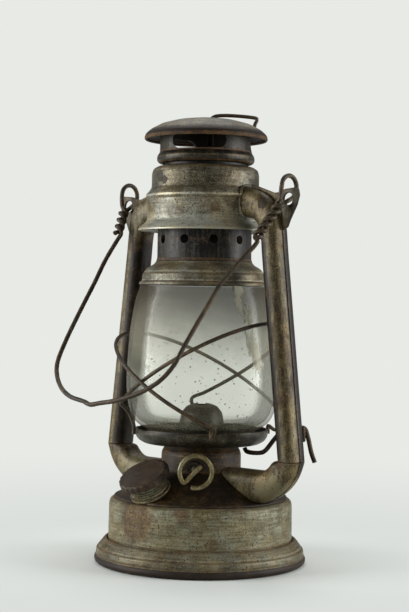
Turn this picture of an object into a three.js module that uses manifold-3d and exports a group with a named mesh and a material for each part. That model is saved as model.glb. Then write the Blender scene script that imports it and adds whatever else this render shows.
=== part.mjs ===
// Hurricane lantern: a kerosene lamp with two air tubes, a lifting globe and a wire handle.
// Millimetres, +Z up. The origin is the middle of the flat underside. The air tubes stand at +X and -X,
// the filler cap leans out towards -Y, and the wick winder points out between +X and -Y.

import * as THREE from "three";
import { mergeVertices } from "three/addons/utils/BufferGeometryUtils.js";
import Module from "manifold-3d";

const wasm = await Module();
wasm.setup();

// Fits and general values
const gap = 0.3;
const sheet = 0.8;
const overrun = 6;
const roundSteps = 24;
const smallRoundSteps = 16;
const holeSteps = 8;
const wireSides = 6;

// Base pan with its rolled foot, and the flange round the tank
const panThickness = 1;
const footRadius = 59.2;
const footBead = 2.6;
const flangeHeight = 13.8;
const flangeStepHeight = 9;
const flangeStep = 1;

// Tank
const tankRadius = 51.4;
const tankTaper = 0.5;
const tankHeight = 36.2;
const tankShoulder = 2.4;
const tankWall = 0.9;
const burnerHole = 10.5;

// Air cone and collar that stand on the tank
const coneFootRadius = 48.4;
const coneFootBead = 1.2;
const coneTopRadius = 24.4;
const coneTopHeight = 50.4;
const collarRadius = 22.3;
const collarHeight = 61.6;
const collarMouth = 20.2;
const collarTop = 66;
const airPort = 9;

// Air tubes: the middle line leans in towards the crown
const tubeHalfDepth = 6;
const tubeHalfWidth = 6.75;
const tubeFootReach = 65.4;
const tubeHeadReach = 50.6;
const tubeFootHeight = 61.5;
const tubeHeadHeight = 184;
const tubeWall = 0.9;
const tubeSquareness = 2.9;
const sectionSteps = 12;
const elbowHalfWidth = 8.6;
const elbowTopHeight = 55;
const hornTop = 209.8;
const hornBottom = 192;

// Crown, the hood that both tubes open into
const crownRadius = 32.5;
const crownUpperRadius = 30.1;
const crownFlare = 37.4;
const crownBottom = 185;
const crownBeadHeight = 204.4;
const crownBead = 0.8;
const crownTop = 221.4;
const crownMouth = 23.8;
const crownFloorHeight = 192;

// Chimney: skirt on the globe, neck with its ring of holes, and the flue inside the crown
const skirtRadius = 36.4;
const skirtBottom = 154.8;
const skirtStepRadius = 34.6;
const skirtRise = 5.6;
const neckRadius = 26.4;
const neckBottom = 170;
const neckTop = 188.5;
const neckHoles = 10;
const neckHoleRadius = 2.5;
const neckHoleHeight = 180;
const flueRadius = 23;
const flueTop = 226;

// Chimney top with its three openings, and the hood
const ventBottom = 222.6;
const ventRadius = 25.8;
const ventBulge = 1.6;
const ventBulgeHeight = 6.4;
const ventTop = 243.3;
const ventSlots = 3;
const ventSlotWidth = 30;
const ventSlotHeight = 9;
const ventSlotBottom = 229.7;
const ventSlotTurn = -57;
const hoodRadius = 34.6;
const hoodTop = 248.6;
const hoodRimHeight = 237.4;
const hoodLip = 1.4;
const hoodThickness = 1;

// Wire loop on the hood
const loopWire = 1.1;
const loopTurn = 43;
const loopNearReach = 2.5;
const loopHoleRadius = 1.76;
const loopSteps = 26;
const loopFarReach = 27.2;
const loopRise = 1.3;
const loopHeight = hoodTop + loopRise;
const loopFootDepth = 5;

// Globe
const globeBaseRadius = 29.6;
const globeBottom = 67.6;
const globeRadius = 42.6;
const globeWidestHeight = 101;
const globeTopRadius = 35.8;
const globeTop = 154.4;
const globeWall = 2;

// Globe plate
const plateBottom = 66.3;
const plateHole = 15.6;
const plateFlatRadius = 30.6;
const plateRimRadius = 37.2;
const plateRimHeight = 76;
const plateLip = 1.8;
const plateThickness = 0.9;
const plateHoles = 14;
const plateHoleRadius = 2.2;
const plateHoleReach = 22;

// Guard wires round the globe, two leaning hoops that cross in front and behind
const guardWire = 1.1;
const guardReachOuter = 48.8;
const guardReachInner = 45.9;
const guardSweep = 265;
const guardSteps = 32;
const outerHoopTurn = -172;
const outerHoopMiddle = 98;
const outerHoopLean = 29;
const innerHoopTurn = 8;
const innerHoopMiddle = 107;
const innerHoopLean = 27.5;
const guardFootDrop = 5;

// Lift lever, a bent wire that hangs over a pin on the right-hand tube
const leverWire = 1.3;
const leverSide = 11;
const leverPivotHeight = 75.6;
const leverSteps = 34;
const bracketHalf = 4.2;
const leverHookReach = 22.7;
const leverPinRadius = 1.3;
const leverPinHead = 2.6;

// Burner
const burnerFlange = 12.5;
const burnerPlug = 5.2;
const burnerHeight = 11.8;
const wickWidth = 10.4;
const wickThickness = 2.2;
const wickTop = 84;
const wickBottom = 12.5;
const wickTubeWall = 0.8;
const wickTubeSlack = 0.5;
const wickTubeTop = 83.4;
const wickTubeBottom = 33;
const airPlateHeight = 63.4;
const airPlateRadius = 19.2;
const airPlateHole = 7.5;
const airHoles = 12;
const airHoleRadius = 1.3;
const deflectorRadius = 13.6;
const deflectorBottom = 64.6;
const deflectorTop = 88.9;
const flameSlotWidth = 4.2;
const flameSlotLength = 12.6;

// Winder that raises the wick
const winderTurn = -44;
const winderOffset = -5;
const winderHeight = 55;
const winderWire = 1.3;
const winderInnerEnd = -9.4;
const winderSteps = 56;
const winderRingSteps = 14;
const winderRingStart = 222;
const winderRingSweep = 330;
const winderReach = 40;
const winderRing = 8.6;
const wheelRadius = 3.6;
const wheelTeeth = 10;
const wheelToothDepth = 0.7;
const wheelThickness = 1.6;
const wheelSpacing = 5.6;
const bushRadius = 3.2;
const bushLength = 6.4;

// Filler neck, cap and seal; they lean out square to the cone
const fillerTurn = -90;
const fillerReach = 39.5;
const fillerBore = 8.2;
const fillerRadius = 9.6;
const fillerThread = 0.8;
const fillerThreads = 3;
const fillerFlange = 11.4;
const fillerFlangeThickness = 1.2;
const fillerDepth = 6;
const fillerRise = 9.5;
const capRadius = 14.7;
const capBottom = 5.4;
const capTop = 12.5;
const capTopThickness = 1.4;
const capLidShare = 0.86;
const capGrips = 24;
const capGripDepth = 0.5;
const sealThickness = 1;

// Handle ears and the handle. Each eye is a ring through its ear's hole, centred on the handle's hinge.
const earHoleHeight = 201.2;
const earOverhang = 6.5;
const earThickness = 1.4;
const earHead = 7.3;
const earRise = 6;
const earDrop = 17.2;
const earHoleRadius = 3.3;
const eyeRadius = 6.2;
const eyeOpening = 120;
const eyeSteps = 8;
const handleWire = 1.3;
const handleLean = 31.67;
const handleLength = 137.5;
const strandReach = 1.8;
const twistStart = 9.5;
const twistShift = 1;
const leftTwistLength = 18.5;
const leftTwistTurns = 2;
const leftTwistEnd = 55.4;
const rightTwistLength = 24;
const rightTwistTurns = 3;
const rightTwistEnd = 53.1;
const strandSteps = 6;

const toRadians = THREE.MathUtils.degToRad;

// Geometry helpers

function asSolid(geometry) {
  const bare = geometry.index ? geometry.toNonIndexed() : geometry.clone();
  bare.deleteAttribute("normal");
  bare.deleteAttribute("uv");
  const merged = mergeVertices(bare);
  const vertProperties = merged.attributes.position.array;
  const triVerts = new Uint32Array(merged.index.array);
  return new wasm.Manifold(new wasm.Mesh({ numProp: 3, vertProperties, triVerts }));
}

function asGeometry(solid) {
  const mesh = solid.getMesh();
  const geometry = new THREE.BufferGeometry();
  geometry.setAttribute("position", new THREE.BufferAttribute(mesh.vertProperties, mesh.numProp));
  geometry.setIndex(new THREE.BufferAttribute(mesh.triVerts, 1));
  geometry.computeVertexNormals();
  return geometry;
}

function cut(geometry, cutters) {
  return asGeometry(cutters.reduce((solid, cutter) => solid.subtract(asSolid(cutter)), asSolid(geometry)));
}

function join(geometries) {
  return asGeometry(geometries.map(asSolid).reduce((all, next) => all.add(next)));
}

// Turns a profile of [radius, height] points about Z. One whose ends are off the axis is closed on itself.
function turned(profile, steps = roundSteps) {
  const points = profile.map(([radius, height]) => new THREE.Vector2(radius, height));
  const onAxis = profile[0][0] === 0 && profile.at(-1)[0] === 0;
  if (!onAxis) points.push(points[0].clone());
  const area = points.reduce((sum, point, i) => {
    const next = points[(i + 1) % points.length];
    return sum + point.x * next.y - next.x * point.y;
  }, 0);
  if (area < 0) points.reverse();
  const geometry = new THREE.LatheGeometry(points, steps);
  geometry.rotateX(Math.PI / 2);
  return geometry;
}

function arc(centreRadius, centreHeight, radius, fromDegrees, toDegrees, steps) {
  return Array.from({ length: steps + 1 }, (_, i) => {
    const angle = toRadians(fromDegrees + ((toDegrees - fromDegrees) * i) / steps);
    return [centreRadius + radius * Math.cos(angle), centreHeight + radius * Math.sin(angle)];
  });
}

// Offsets an open profile to its left by the thickness and returns the closed wall.
function wallOf(profile, thickness) {
  const inner = profile.map((point, i) => {
    const before = profile[Math.max(i - 1, 0)];
    const after = profile[Math.min(i + 1, profile.length - 1)];
    const along = new THREE.Vector2(after[0] - before[0], after[1] - before[1]).normalize();
    return [Math.max(point[0] - along.y * thickness, 0), point[1] + along.x * thickness];
  });
  return [...profile, ...inner.reverse()];
}

// Joins rings of equal counts of points into one closed skin with flat ends.
function skinned(rings) {
  const count = rings[0].length;
  const positions = rings.flat().flatMap((point) => [point.x, point.y, point.z]);
  const triangles = [];
  rings.slice(1).forEach((_, ring) => {
    for (let i = 0; i < count; i += 1) {
      const next = (i + 1) % count;
      const low = ring * count;
      const high = low + count;
      triangles.push(low + i, low + next, high + next, low + i, high + next, high + i);
    }
  });
  const last = (rings.length - 1) * count;
  for (let i = 1; i < count - 1; i += 1) {
    triangles.push(0, i + 1, i, last, last + i, last + i + 1);
  }
  const geometry = new THREE.BufferGeometry();
  geometry.setAttribute("position", new THREE.Float32BufferAttribute(positions, 3));
  geometry.setIndex(triangles);
  geometry.computeVertexNormals();
  return geometry;
}

// A round wire along a list of points, with its section carried along without twist.
function wire(points, radius, sides) {
  let side = new THREE.Vector3();
  const rings = points.map((point, i) => {
    const before = points[Math.max(i - 1, 0)];
    const after = points[Math.min(i + 1, points.length - 1)];
    const along = after.clone().sub(before).normalize();
    if (i === 0) {
      side = new THREE.Vector3(0, 0, 1).cross(along);
      if (side.lengthSq() < 0.01) side = new THREE.Vector3(1, 0, 0).cross(along);
    }
    side.addScaledVector(along, -side.dot(along)).normalize();
    const up = along.clone().cross(side);
    return Array.from({ length: sides }, (_, k) => {
      const angle = (2 * Math.PI * k) / sides;
      return point
        .clone()
        .addScaledVector(side, radius * Math.cos(angle))
        .addScaledVector(up, radius * Math.sin(angle));
    });
  });
  return skinned(rings);
}

function smoothed(points, steps) {
  return new THREE.CatmullRomCurve3(points, false, "centripetal").getSpacedPoints(steps);
}

function box(low, high) {
  const size = new THREE.Vector3().subVectors(high, low);
  const geometry = new THREE.BoxGeometry(size.x, size.y, size.z);
  return geometry.translate(...new THREE.Vector3().addVectors(low, high).multiplyScalar(0.5).toArray());
}

// A round bar along X, from one reach to another.
function barAlongX(radius, from, to, steps = smallRoundSteps) {
  const geometry = new THREE.CylinderGeometry(radius, radius, to - from, steps);
  return geometry.rotateZ(Math.PI / 2).translate((from + to) / 2, 0, 0);
}

// A round bar along Z, from one height to another.
function barUpright(radius, from, to, steps = smallRoundSteps) {
  const geometry = new THREE.CylinderGeometry(radius, radius, to - from, steps);
  return geometry.rotateX(Math.PI / 2).translate(0, 0, (from + to) / 2);
}

// A mesh's own material
function finish(color, roughness, metalness) {
  return new THREE.MeshStandardMaterial({ color, roughness, metalness });
}

const galvanised = finish(0x8a877b, 0.55, 0.75);
const rustySteel = finish(0x3f352b, 0.75, 0.55);
const darkWire = finish(0x2e2823, 0.7, 0.6);
const paleWire = finish(0x8f8a72, 0.5, 0.7);
const clearGlass = new THREE.MeshStandardMaterial({
  color: 0xdfe6e2,
  roughness: 0.12,
  metalness: 0,
  transparent: true,
  opacity: 0.35,
});
const brownPaint = finish(0x3a2b25, 0.6, 0.2);
const brass = finish(0x7a6a45, 0.5, 0.8);
const cotton = finish(0xb9a988, 0.95, 0);
const rubber = finish(0x2a2522, 0.9, 0);

const lantern = new THREE.Group();

function add(name, geometry, material, group = lantern) {
  const mesh = new THREE.Mesh(geometry, material);
  mesh.name = name;
  group.add(mesh);
  return mesh;
}

// Base pan: a flat floor, the flange and the rolled foot
function basePan() {
  const inside = tankRadius + gap;
  const beadCentre = footRadius - footBead;
  return turned([
    [0, 0],
    [inside - flangeStep, 0],
    [inside + flangeStep, panThickness],
    [beadCentre - footBead, panThickness],
    ...arc(beadCentre, footBead, footBead, -120, 50, 7),
    [footRadius - flangeStep, flangeStepHeight - gap],
    [footRadius - flangeStep - flangeStep, flangeStepHeight],
    [(inside + footRadius - flangeStep) / 2, flangeHeight - flangeStep],
    [inside + flangeStep, flangeHeight],
    [inside, flangeHeight - gap],
    [inside, panThickness],
    [0, panThickness],
  ]);
}
add("base_pan", basePan(), galvanised);

// The filler's own frame: its origin is on the cone, its axis is square to the cone's slope
const slopeFootRadius = coneFootRadius - coneFootBead - coneFootBead;
const slopeFootHeight = tankHeight + coneFootBead + gap;
const coneSlope = Math.atan2(coneTopHeight - slopeFootHeight, slopeFootRadius - coneTopRadius);
const coneRise = (slopeFootRadius - fillerReach) * Math.tan(coneSlope);
const filler = new THREE.Group();
const fillerLean = new THREE.Group();
filler.rotation.z = toRadians(fillerTurn);
fillerLean.position.set(fillerReach, 0, slopeFootHeight + coneRise + gap + gap);
fillerLean.rotation.y = coneSlope;
filler.add(fillerLean);
lantern.add(filler);
filler.updateMatrixWorld(true);

function fillerCut(radius, bottom) {
  const length = 2 * (fillerDepth + overrun);
  const cutter = new THREE.CylinderGeometry(radius + gap, radius + gap, length, smallRoundSteps);
  cutter.rotateX(Math.PI / 2).translate(0, 0, bottom + length / 2);
  return cutter.applyMatrix4(fillerLean.matrixWorld);
}

// Tank: the wall and the flat top, open below over the pan
const tankTopRadius = tankRadius - tankTaper;
const tankProfile = [
  [tankRadius, panThickness + gap],
  ...arc(tankTopRadius - tankShoulder, tankHeight - tankShoulder, tankShoulder, 0, 90, 4),
  [burnerHole, tankHeight],
];
const tankHole = fillerCut(fillerRadius, -fillerDepth - overrun - fillerThread);
add("tank_shell", cut(turned(wallOf(tankProfile, tankWall)), [tankHole]), galvanised);

// Air cone and collar
const coneBottom = tankHeight + gap;
const coneProfile = [
  [coneFootRadius, coneBottom],
  [coneFootRadius, coneBottom + coneFootBead / 2],
  [coneFootRadius - coneFootBead / 2, tankHeight + coneFootBead],
  [slopeFootRadius, slopeFootHeight],
  [coneTopRadius, coneTopHeight],
  [collarRadius + sheet / 2, coneTopHeight + sheet],
  [collarRadius, coneTopHeight + sheet + sheet],
  [collarRadius, collarHeight],
  [(collarRadius + collarMouth) / 2, (collarHeight + collarTop) / 2],
  [collarMouth, collarTop],
];

// The winder's own frame lies along its shaft
const winder = new THREE.Group();
winder.rotation.z = toRadians(winderTurn);
lantern.add(winder);
winder.updateMatrixWorld(true);
const bushReach = Math.sqrt(collarRadius ** 2 - winderOffset ** 2);
const bushInner = bushReach - bushLength / 2;
const bushOuter = bushReach + bushLength / 2;

function shaftHole(radius, from, to) {
  const bar = barAlongX(radius, from, to).translate(0, winderOffset, winderHeight);
  return bar.applyMatrix4(winder.matrixWorld);
}

function airPortCutter(side) {
  const low = new THREE.Vector3(collarRadius + airPort / 2, -airPort / 2, coneBottom);
  const high = new THREE.Vector3(coneFootRadius - airPort, airPort / 2, coneTopHeight + airPort);
  return box(low, high).rotateZ(side > 0 ? 0 : Math.PI);
}
add(
  "air_cone",
  cut(turned(wallOf(coneProfile, sheet)), [
    fillerCut(fillerRadius, -fillerDepth),
    fillerCut(fillerFlange, -gap),
    shaftHole(bushRadius + gap, bushInner, bushOuter),
    airPortCutter(1),
    airPortCutter(-1),
  ]),
  rustySteel,
);

// Air tubes and elbows. A ring spans from an inner edge to an outer edge in the tube's own plane.
const tubeLean = (tubeHeadReach - tubeFootReach) / (tubeHeadHeight - tubeFootHeight);

function tubeReachAt(height) {
  return tubeFootReach + tubeLean * (height - tubeFootHeight);
}
const leverPivotReach = tubeReachAt(leverPivotHeight);

function tubeRing(inner, outer, halfWidth, inset) {
  const middle = new THREE.Vector2().addVectors(inner, outer).multiplyScalar(0.5);
  const half = new THREE.Vector2().subVectors(outer, inner).multiplyScalar(0.5);
  const depthShare = 1 - inset / half.length();
  const power = 2 / tubeSquareness;
  return Array.from({ length: sectionSteps }, (_, i) => {
    const angle = (2 * Math.PI * i) / sectionSteps;
    const across = Math.sign(Math.cos(angle)) * Math.abs(Math.cos(angle)) ** power * depthShare;
    const wide = Math.sign(Math.sin(angle)) * Math.abs(Math.sin(angle)) ** power * (halfWidth - inset);
    return new THREE.Vector3(middle.x + half.x * across, wide, middle.y + half.y * across);
  });
}

function tubeSkin(edges, inset) {
  return skinned(edges.map(([inner, outer, halfWidth]) => tubeRing(inner, outer, halfWidth, inset)));
}

function straightEdge(height) {
  const reach = tubeReachAt(height);
  return [
    new THREE.Vector2(reach - tubeHalfDepth, height),
    new THREE.Vector2(reach + tubeHalfDepth, height),
    tubeHalfWidth,
  ];
}

// The horn turns in over an arc, as shares of the way from the tube's head to the crown
const hornShares = [
  [0.039, 0.4, 0.04, 0.344],
  [0.093, 0.65, 0.072, 0.556],
  [0.203, 0.83, 0.143, 0.714],
  [0.367, 0.95, 0.281, 0.825],
  [0.572, 1, 0.458, 0.9],
  [0.79, 1, 0.65, 0.95],
  [1, 1, 1, 1],
];

function hornEdges() {
  const start = tubeHeadHeight - tubeHalfDepth - tubeHalfDepth;
  const reach = tubeReachAt(start);
  const mouth = crownUpperRadius - tubeHalfDepth;
  const innerRun = reach - tubeHalfDepth - mouth;
  const outerRun = reach + tubeHalfDepth - mouth;
  return hornShares.map(([innerIn, innerUp, outerIn, outerUp]) => [
    new THREE.Vector2(reach - tubeHalfDepth - innerRun * innerIn, start + (hornBottom - start) * innerUp),
    new THREE.Vector2(reach + tubeHalfDepth - outerRun * outerIn, start + (hornTop - start) * outerUp),
    tubeHalfWidth,
  ]);
}

function airTube() {
  const straight = [tubeFootHeight, tubeHeadHeight - tubeHalfDepth - tubeHalfDepth].map(straightEdge);
  return [...straight, ...hornEdges()];
}

// The elbow turns in under the tube and lands on the cone
const elbowShares = [
  [0.087, 0.03, 0.047, 0.256],
  [0.163, 0.52, 0.115, 0.466],
  [0.24, 0.84, 0.213, 0.65],
  [0.33, 0.98, 0.34, 0.81],
  [0.444, 1, 0.496, 0.924],
  [0.648, 1, 0.69, 0.98],
  [1, 1, 1, 1],
];

function elbowEdges() {
  const top = straightEdge(tubeFootHeight - gap);
  const innerRun = top[0].x - collarMouth;
  const outerRun = top[1].x - collarMouth;
  const innerDrop = top[0].y - elbowTopHeight;
  const outerDrop = top[1].y - tankHeight + coneFootBead;
  const turnedIn = elbowShares.map(([innerIn, innerDown, outerIn, outerDown]) => [
    new THREE.Vector2(top[0].x - innerRun * innerIn, top[0].y - innerDrop * innerDown),
    new THREE.Vector2(top[1].x - outerRun * outerIn, top[1].y - outerDrop * outerDown),
    tubeHalfWidth + (elbowHalfWidth - tubeHalfWidth) * outerDown,
  ]);
  return [top, ...turnedIn].reverse();
}

// Solid bodies of revolution a little larger than the cone, the tank and the crown
function coneEnvelope() {
  return turned([
    [0, coneBottom - overrun],
    [coneFootRadius + gap, coneBottom - overrun],
    [coneFootRadius + gap, tankHeight + coneFootBead + gap],
    [coneFootRadius - coneFootBead, tankHeight + coneFootBead + gap + gap],
    [coneTopRadius + gap, coneTopHeight + gap],
    [collarRadius + gap + gap, coneTopHeight + sheet + gap + gap],
    [collarRadius + gap, coneTopHeight + sheet + sheet + gap],
    [collarRadius + gap, collarHeight + overrun],
    [0, collarHeight + overrun],
  ]);
}

function tankEnvelope() {
  return turned([
    [0, 0],
    [tankRadius + gap, 0],
    [tankTopRadius + gap, tankHeight - tankShoulder],
    ...arc(tankTopRadius - tankShoulder, tankHeight - tankShoulder, tankShoulder + gap, 15, 90, 4),
    [0, tankHeight + gap],
  ]);
}

function crownEnvelope() {
  return turned([
    [0, crownBottom - overrun],
    [neckRadius + overrun / 2, crownBottom - overrun],
    [neckRadius + overrun / 2, crownBottom - gap],
    [crownFlare + gap, crownBottom - gap],
    [crownFlare + gap, crownBottom + gap + sheet + gap],
    [crownRadius + gap + gap, crownBottom + overrun - gap],
    [crownRadius + gap, crownBottom + overrun],
    [crownRadius + crownBead + gap, crownBeadHeight - crownBead - crownBead],
    [crownRadius + crownBead + gap, crownBeadHeight + crownBead + crownBead],
    [crownUpperRadius + gap, crownBeadHeight + overrun],
    [crownUpperRadius + gap, crownTop],
    [0, crownTop],
  ]);
}

function bored(edges, envelopes, lengthen) {
  const bore = lengthen(edges.map(([inner, outer, halfWidth]) => [inner.clone(), outer.clone(), halfWidth]));
  return cut(tubeSkin(edges, 0), [tubeSkin(bore, tubeWall), ...envelopes]);
}

function moveEnd(edges, index, dx, dy) {
  edges[index].slice(0, 2).forEach((edge) => edge.add(new THREE.Vector2(dx, dy)));
  return edges;
}

function boredTube() {
  return bored(airTube(), [crownEnvelope()], (edges) =>
    moveEnd(moveEnd(edges, 0, -tubeLean * overrun, -overrun), edges.length - 1, -overrun, 0),
  );
}

function boredElbow() {
  return bored(elbowEdges(), [coneEnvelope(), tankEnvelope()], (edges) =>
    moveEnd(moveEnd(edges, 0, -overrun, 0), edges.length - 1, tubeLean * overrun, overrun),
  );
}

const sides = [
  ["right", 0],
  ["left", Math.PI],
];
sides.forEach(([side, turn]) => {
  add("air_tube_" + side, boredTube(), galvanised).rotation.z = turn;
  add("tube_elbow_" + side, boredElbow(), galvanised).rotation.z = turn;
});

// Crown, with a port for each tube, and its floor
function crownShell() {
  const profile = [
    [crownFlare, crownBottom],
    [crownFlare, crownBottom + sheet],
    [(crownFlare + crownRadius) / 2, crownBottom + overrun / 2],
    [crownRadius + gap, crownBottom + overrun - sheet],
    [crownRadius, crownBottom + overrun],
    [crownRadius, crownBeadHeight - crownBead - crownBead],
    [crownRadius + crownBead, crownBeadHeight - crownBead],
    [crownRadius + crownBead, crownBeadHeight + crownBead],
    [crownUpperRadius + crownBead + crownBead, crownBeadHeight + overrun / 2],
    [crownUpperRadius, crownBeadHeight + overrun],
    [crownUpperRadius, crownTop - overrun + sheet],
    [crownUpperRadius - sheet, crownTop - sheet - sheet],
    [crownUpperRadius - overrun / 2, crownTop - sheet / 2],
    [crownMouth, crownTop],
  ];
  const ports = sides.map(([, turn]) => {
    const low = new THREE.Vector3(neckRadius, -airPort / 2, crownBottom + overrun + overrun / 2);
    const high = new THREE.Vector3(crownFlare, airPort / 2, crownBeadHeight - crownBead - crownBead);
    return box(low, high).rotateZ(turn);
  });
  return cut(turned(wallOf(profile, sheet)), ports);
}
add("crown", crownShell(), galvanised);

function ring(innerRadius, outerRadius, bottom, top, steps) {
  const profile = [
    [innerRadius, bottom],
    [outerRadius, bottom],
    [outerRadius, top],
    [innerRadius, top],
  ];
  return turned(profile, steps);
}
const crownFloorTop = crownFloorHeight + sheet;
const crownFloorHole = neckRadius + gap + gap;
add(
  "crown_floor",
  ring(crownFloorHole, crownRadius - sheet - gap, crownFloorHeight, crownFloorTop, roundSteps),
  galvanised,
);

// Chimney: skirt, neck with holes, and flue
function chimneyNeck() {
  const profile = [
    [skirtRadius, skirtBottom],
    [skirtRadius, skirtBottom + sheet + gap],
    [skirtStepRadius, skirtBottom + sheet + sheet + gap],
    [skirtStepRadius, skirtBottom + skirtRise],
    [skirtStepRadius - sheet, skirtBottom + skirtRise + sheet],
    [(skirtStepRadius + neckRadius) / 2 + sheet, neckBottom - skirtRise],
    [neckRadius + sheet + sheet, neckBottom - skirtRise + sheet + sheet],
    [neckRadius + gap, neckBottom - sheet - sheet],
    [neckRadius, neckBottom],
    [neckRadius, neckTop],
    [(neckRadius + flueRadius) / 2, neckTop + sheet + sheet],
    [flueRadius, neckTop + sheet + sheet + sheet],
    [flueRadius, flueTop],
  ];
  const holes = Array.from({ length: neckHoles }, (_, i) =>
    barAlongX(neckHoleRadius, flueRadius - overrun, neckRadius + overrun, holeSteps)
      .translate(0, 0, neckHoleHeight)
      .rotateZ(((i + 0.5) * 2 * Math.PI) / neckHoles),
  );
  return cut(turned(wallOf(profile, sheet)), holes);
}
add("chimney_neck", chimneyNeck(), galvanised);

// Chimney top: bulged ring, wall and openings
function slotCutter(turn) {
  const half = ventSlotHeight / 2;
  const straight = ventSlotWidth / 2 - half;
  const outline = new THREE.Shape();
  outline.absarc(straight, 0, half, -Math.PI / 2, Math.PI / 2, false);
  outline.absarc(-straight, 0, half, Math.PI / 2, (3 * Math.PI) / 2, false);
  const settings = { depth: ventRadius, bevelEnabled: false, curveSegments: 6 };
  const geometry = new THREE.ExtrudeGeometry(outline, settings);
  geometry.rotateX(Math.PI / 2).rotateZ(Math.PI / 2);
  return geometry.translate(ventRadius / 3, 0, ventSlotBottom + half).rotateZ(turn);
}

function chimneyTop() {
  const profile = [
    [flueRadius + sheet + gap, ventBottom],
    [ventRadius + ventBulge / 2, ventBottom + sheet],
    [ventRadius + ventBulge, ventBottom + ventBulge + gap],
    [ventRadius + ventBulge, ventBottom + ventBulgeHeight - ventBulge - sheet],
    [ventRadius + ventBulge / 3, ventBottom + ventBulgeHeight - sheet],
    [ventRadius, ventBottom + ventBulgeHeight],
    [ventRadius, ventTop],
  ];
  const slots = Array.from({ length: ventSlots }, (_, i) =>
    slotCutter(toRadians(ventSlotTurn) + (i * 2 * Math.PI) / ventSlots),
  );
  return cut(turned(wallOf(profile, sheet)), slots);
}
add("chimney_top", chimneyTop(), galvanised);

// Hood, with two holes for the wire loop
const hoodShares = [
  [0, 1],
  [0.26, 0.96],
  [0.5, 0.86],
  [0.74, 0.66],
  [0.9, 0.4],
  [0.98, 0.16],
  [1, 0],
];

function hood() {
  const rise = hoodTop - hoodRimHeight;
  const profile = hoodShares.map(([out, up]) => [hoodRadius * out, hoodRimHeight + rise * up]);
  profile.push([hoodRadius - hoodLip / 3, hoodRimHeight - hoodLip]);
  const holes = [loopNearReach, loopFarReach].map((reach) =>
    barUpright(loopHoleRadius, hoodRimHeight - overrun, hoodTop + overrun)
      .translate(reach, 0, 0)
      .rotateZ(toRadians(loopTurn)),
  );
  return cut(turned(wallOf(profile.reverse(), hoodThickness)), holes);
}
add("hood", hood(), galvanised);

function hoodLoop() {
  const bend = loopWire + loopWire;
  const foot = hoodTop - loopFootDepth;
  const points = [
    [loopNearReach, foot],
    [loopNearReach, loopHeight - bend],
    [loopNearReach + bend, loopHeight],
    [loopFarReach - bend, loopHeight - gap],
    [loopFarReach + loopWire, loopHeight - loopWire],
    [loopFarReach + loopWire, loopHeight - bend],
    [loopFarReach, loopHeight - bend - bend],
    [loopFarReach, foot - bend],
  ].map(([reach, height]) => new THREE.Vector3(reach, 0, height));
  return wire(smoothed(points, loopSteps), loopWire, wireSides);
}
add("hood_loop", hoodLoop(), darkWire).rotation.z = toRadians(loopTurn);

// Globe: straight foot, wide belly and narrower mouth
const globeShares = [
  [0, 0],
  [0, 0.34],
  [0.36, 0.42],
  [0.7, 0.53],
  [0.91, 0.71],
  [1, 1],
];

const globeTaperShares = [0.25, 0.5, 0.7, 0.86, 1];
const globeTaperPower = 2.4;

function globe() {
  const swell = globeRadius - globeBaseRadius;
  const rise = globeWidestHeight - globeBottom;
  const belly = globeShares.map(([out, up]) => [globeBaseRadius + swell * out, globeBottom + rise * up]);
  const taper = globeRadius - globeTopRadius;
  const upper = globeTaperShares.map((share) => [
    globeRadius - taper * share ** globeTaperPower,
    globeWidestHeight + (globeTop - globeWidestHeight) * share,
  ]);
  return turned(wallOf([...belly, ...upper], globeWall));
}
add("globe", globe(), clearGlass);

// Globe plate: a pierced dish
function globePlate() {
  const profile = [
    [plateHole, plateBottom],
    [plateFlatRadius, plateBottom],
    [plateFlatRadius + sheet, plateBottom + gap],
    [plateRimRadius - sheet - sheet, plateRimHeight - plateLip - plateLip - plateThickness],
    [plateRimRadius - sheet, plateRimHeight - plateLip - plateThickness],
    [plateRimRadius, plateRimHeight - plateLip],
    [plateRimRadius, plateRimHeight],
  ];
  const holes = Array.from({ length: plateHoles }, (_, i) =>
    barUpright(plateHoleRadius, plateBottom - overrun, plateBottom + overrun / 2, holeSteps)
      .translate(plateHoleReach, 0, 0)
      .rotateZ((i * 2 * Math.PI) / plateHoles),
  );
  return cut(turned(wallOf(profile, plateThickness)), holes);
}
add("globe_plate", globePlate(), rustySteel);

// Guard wires: each is a leaning hoop whose two ends come down outside the plate's rim
function guardHoop(reach, turn, middle, lean) {
  const points = Array.from({ length: guardSteps + 1 }, (_, i) => {
    const sweep = toRadians(guardSweep * (i / guardSteps - 0.5));
    return new THREE.Vector3(
      reach * Math.cos(sweep),
      reach * Math.sin(sweep),
      middle + lean * Math.cos(sweep),
    );
  });
  const foot = (end, angle) => {
    const ends = [
      [(reach + plateRimRadius) / 2, end.z - guardFootDrop],
      [plateRimRadius + guardWire + gap, plateRimHeight],
      [plateRimRadius + guardWire + gap, plateRimHeight - guardFootDrop / 2],
    ];
    return ends.map(([out, height]) => {
      return new THREE.Vector3(out * Math.cos(angle), out * Math.sin(angle), height);
    });
  };
  const half = toRadians(guardSweep / 2);
  const path = [...foot(points[0], -half).reverse(), ...points, ...foot(points.at(-1), half)];
  return wire(smoothed(path, guardSteps + guardSteps / 2), guardWire, wireSides).rotateZ(toRadians(turn));
}
add("guard_wire_outer", guardHoop(guardReachOuter, outerHoopTurn, outerHoopMiddle, outerHoopLean), darkWire);
add("guard_wire_inner", guardHoop(guardReachInner, innerHoopTurn, innerHoopMiddle, innerHoopLean), darkWire);

// Lift lever: its inner end lies under the plate's rim, and its bend hangs over the pin
const leverEndShares = [
  [1.4, 1],
  [2, 3],
  [2.8, 4.6],
];

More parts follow.
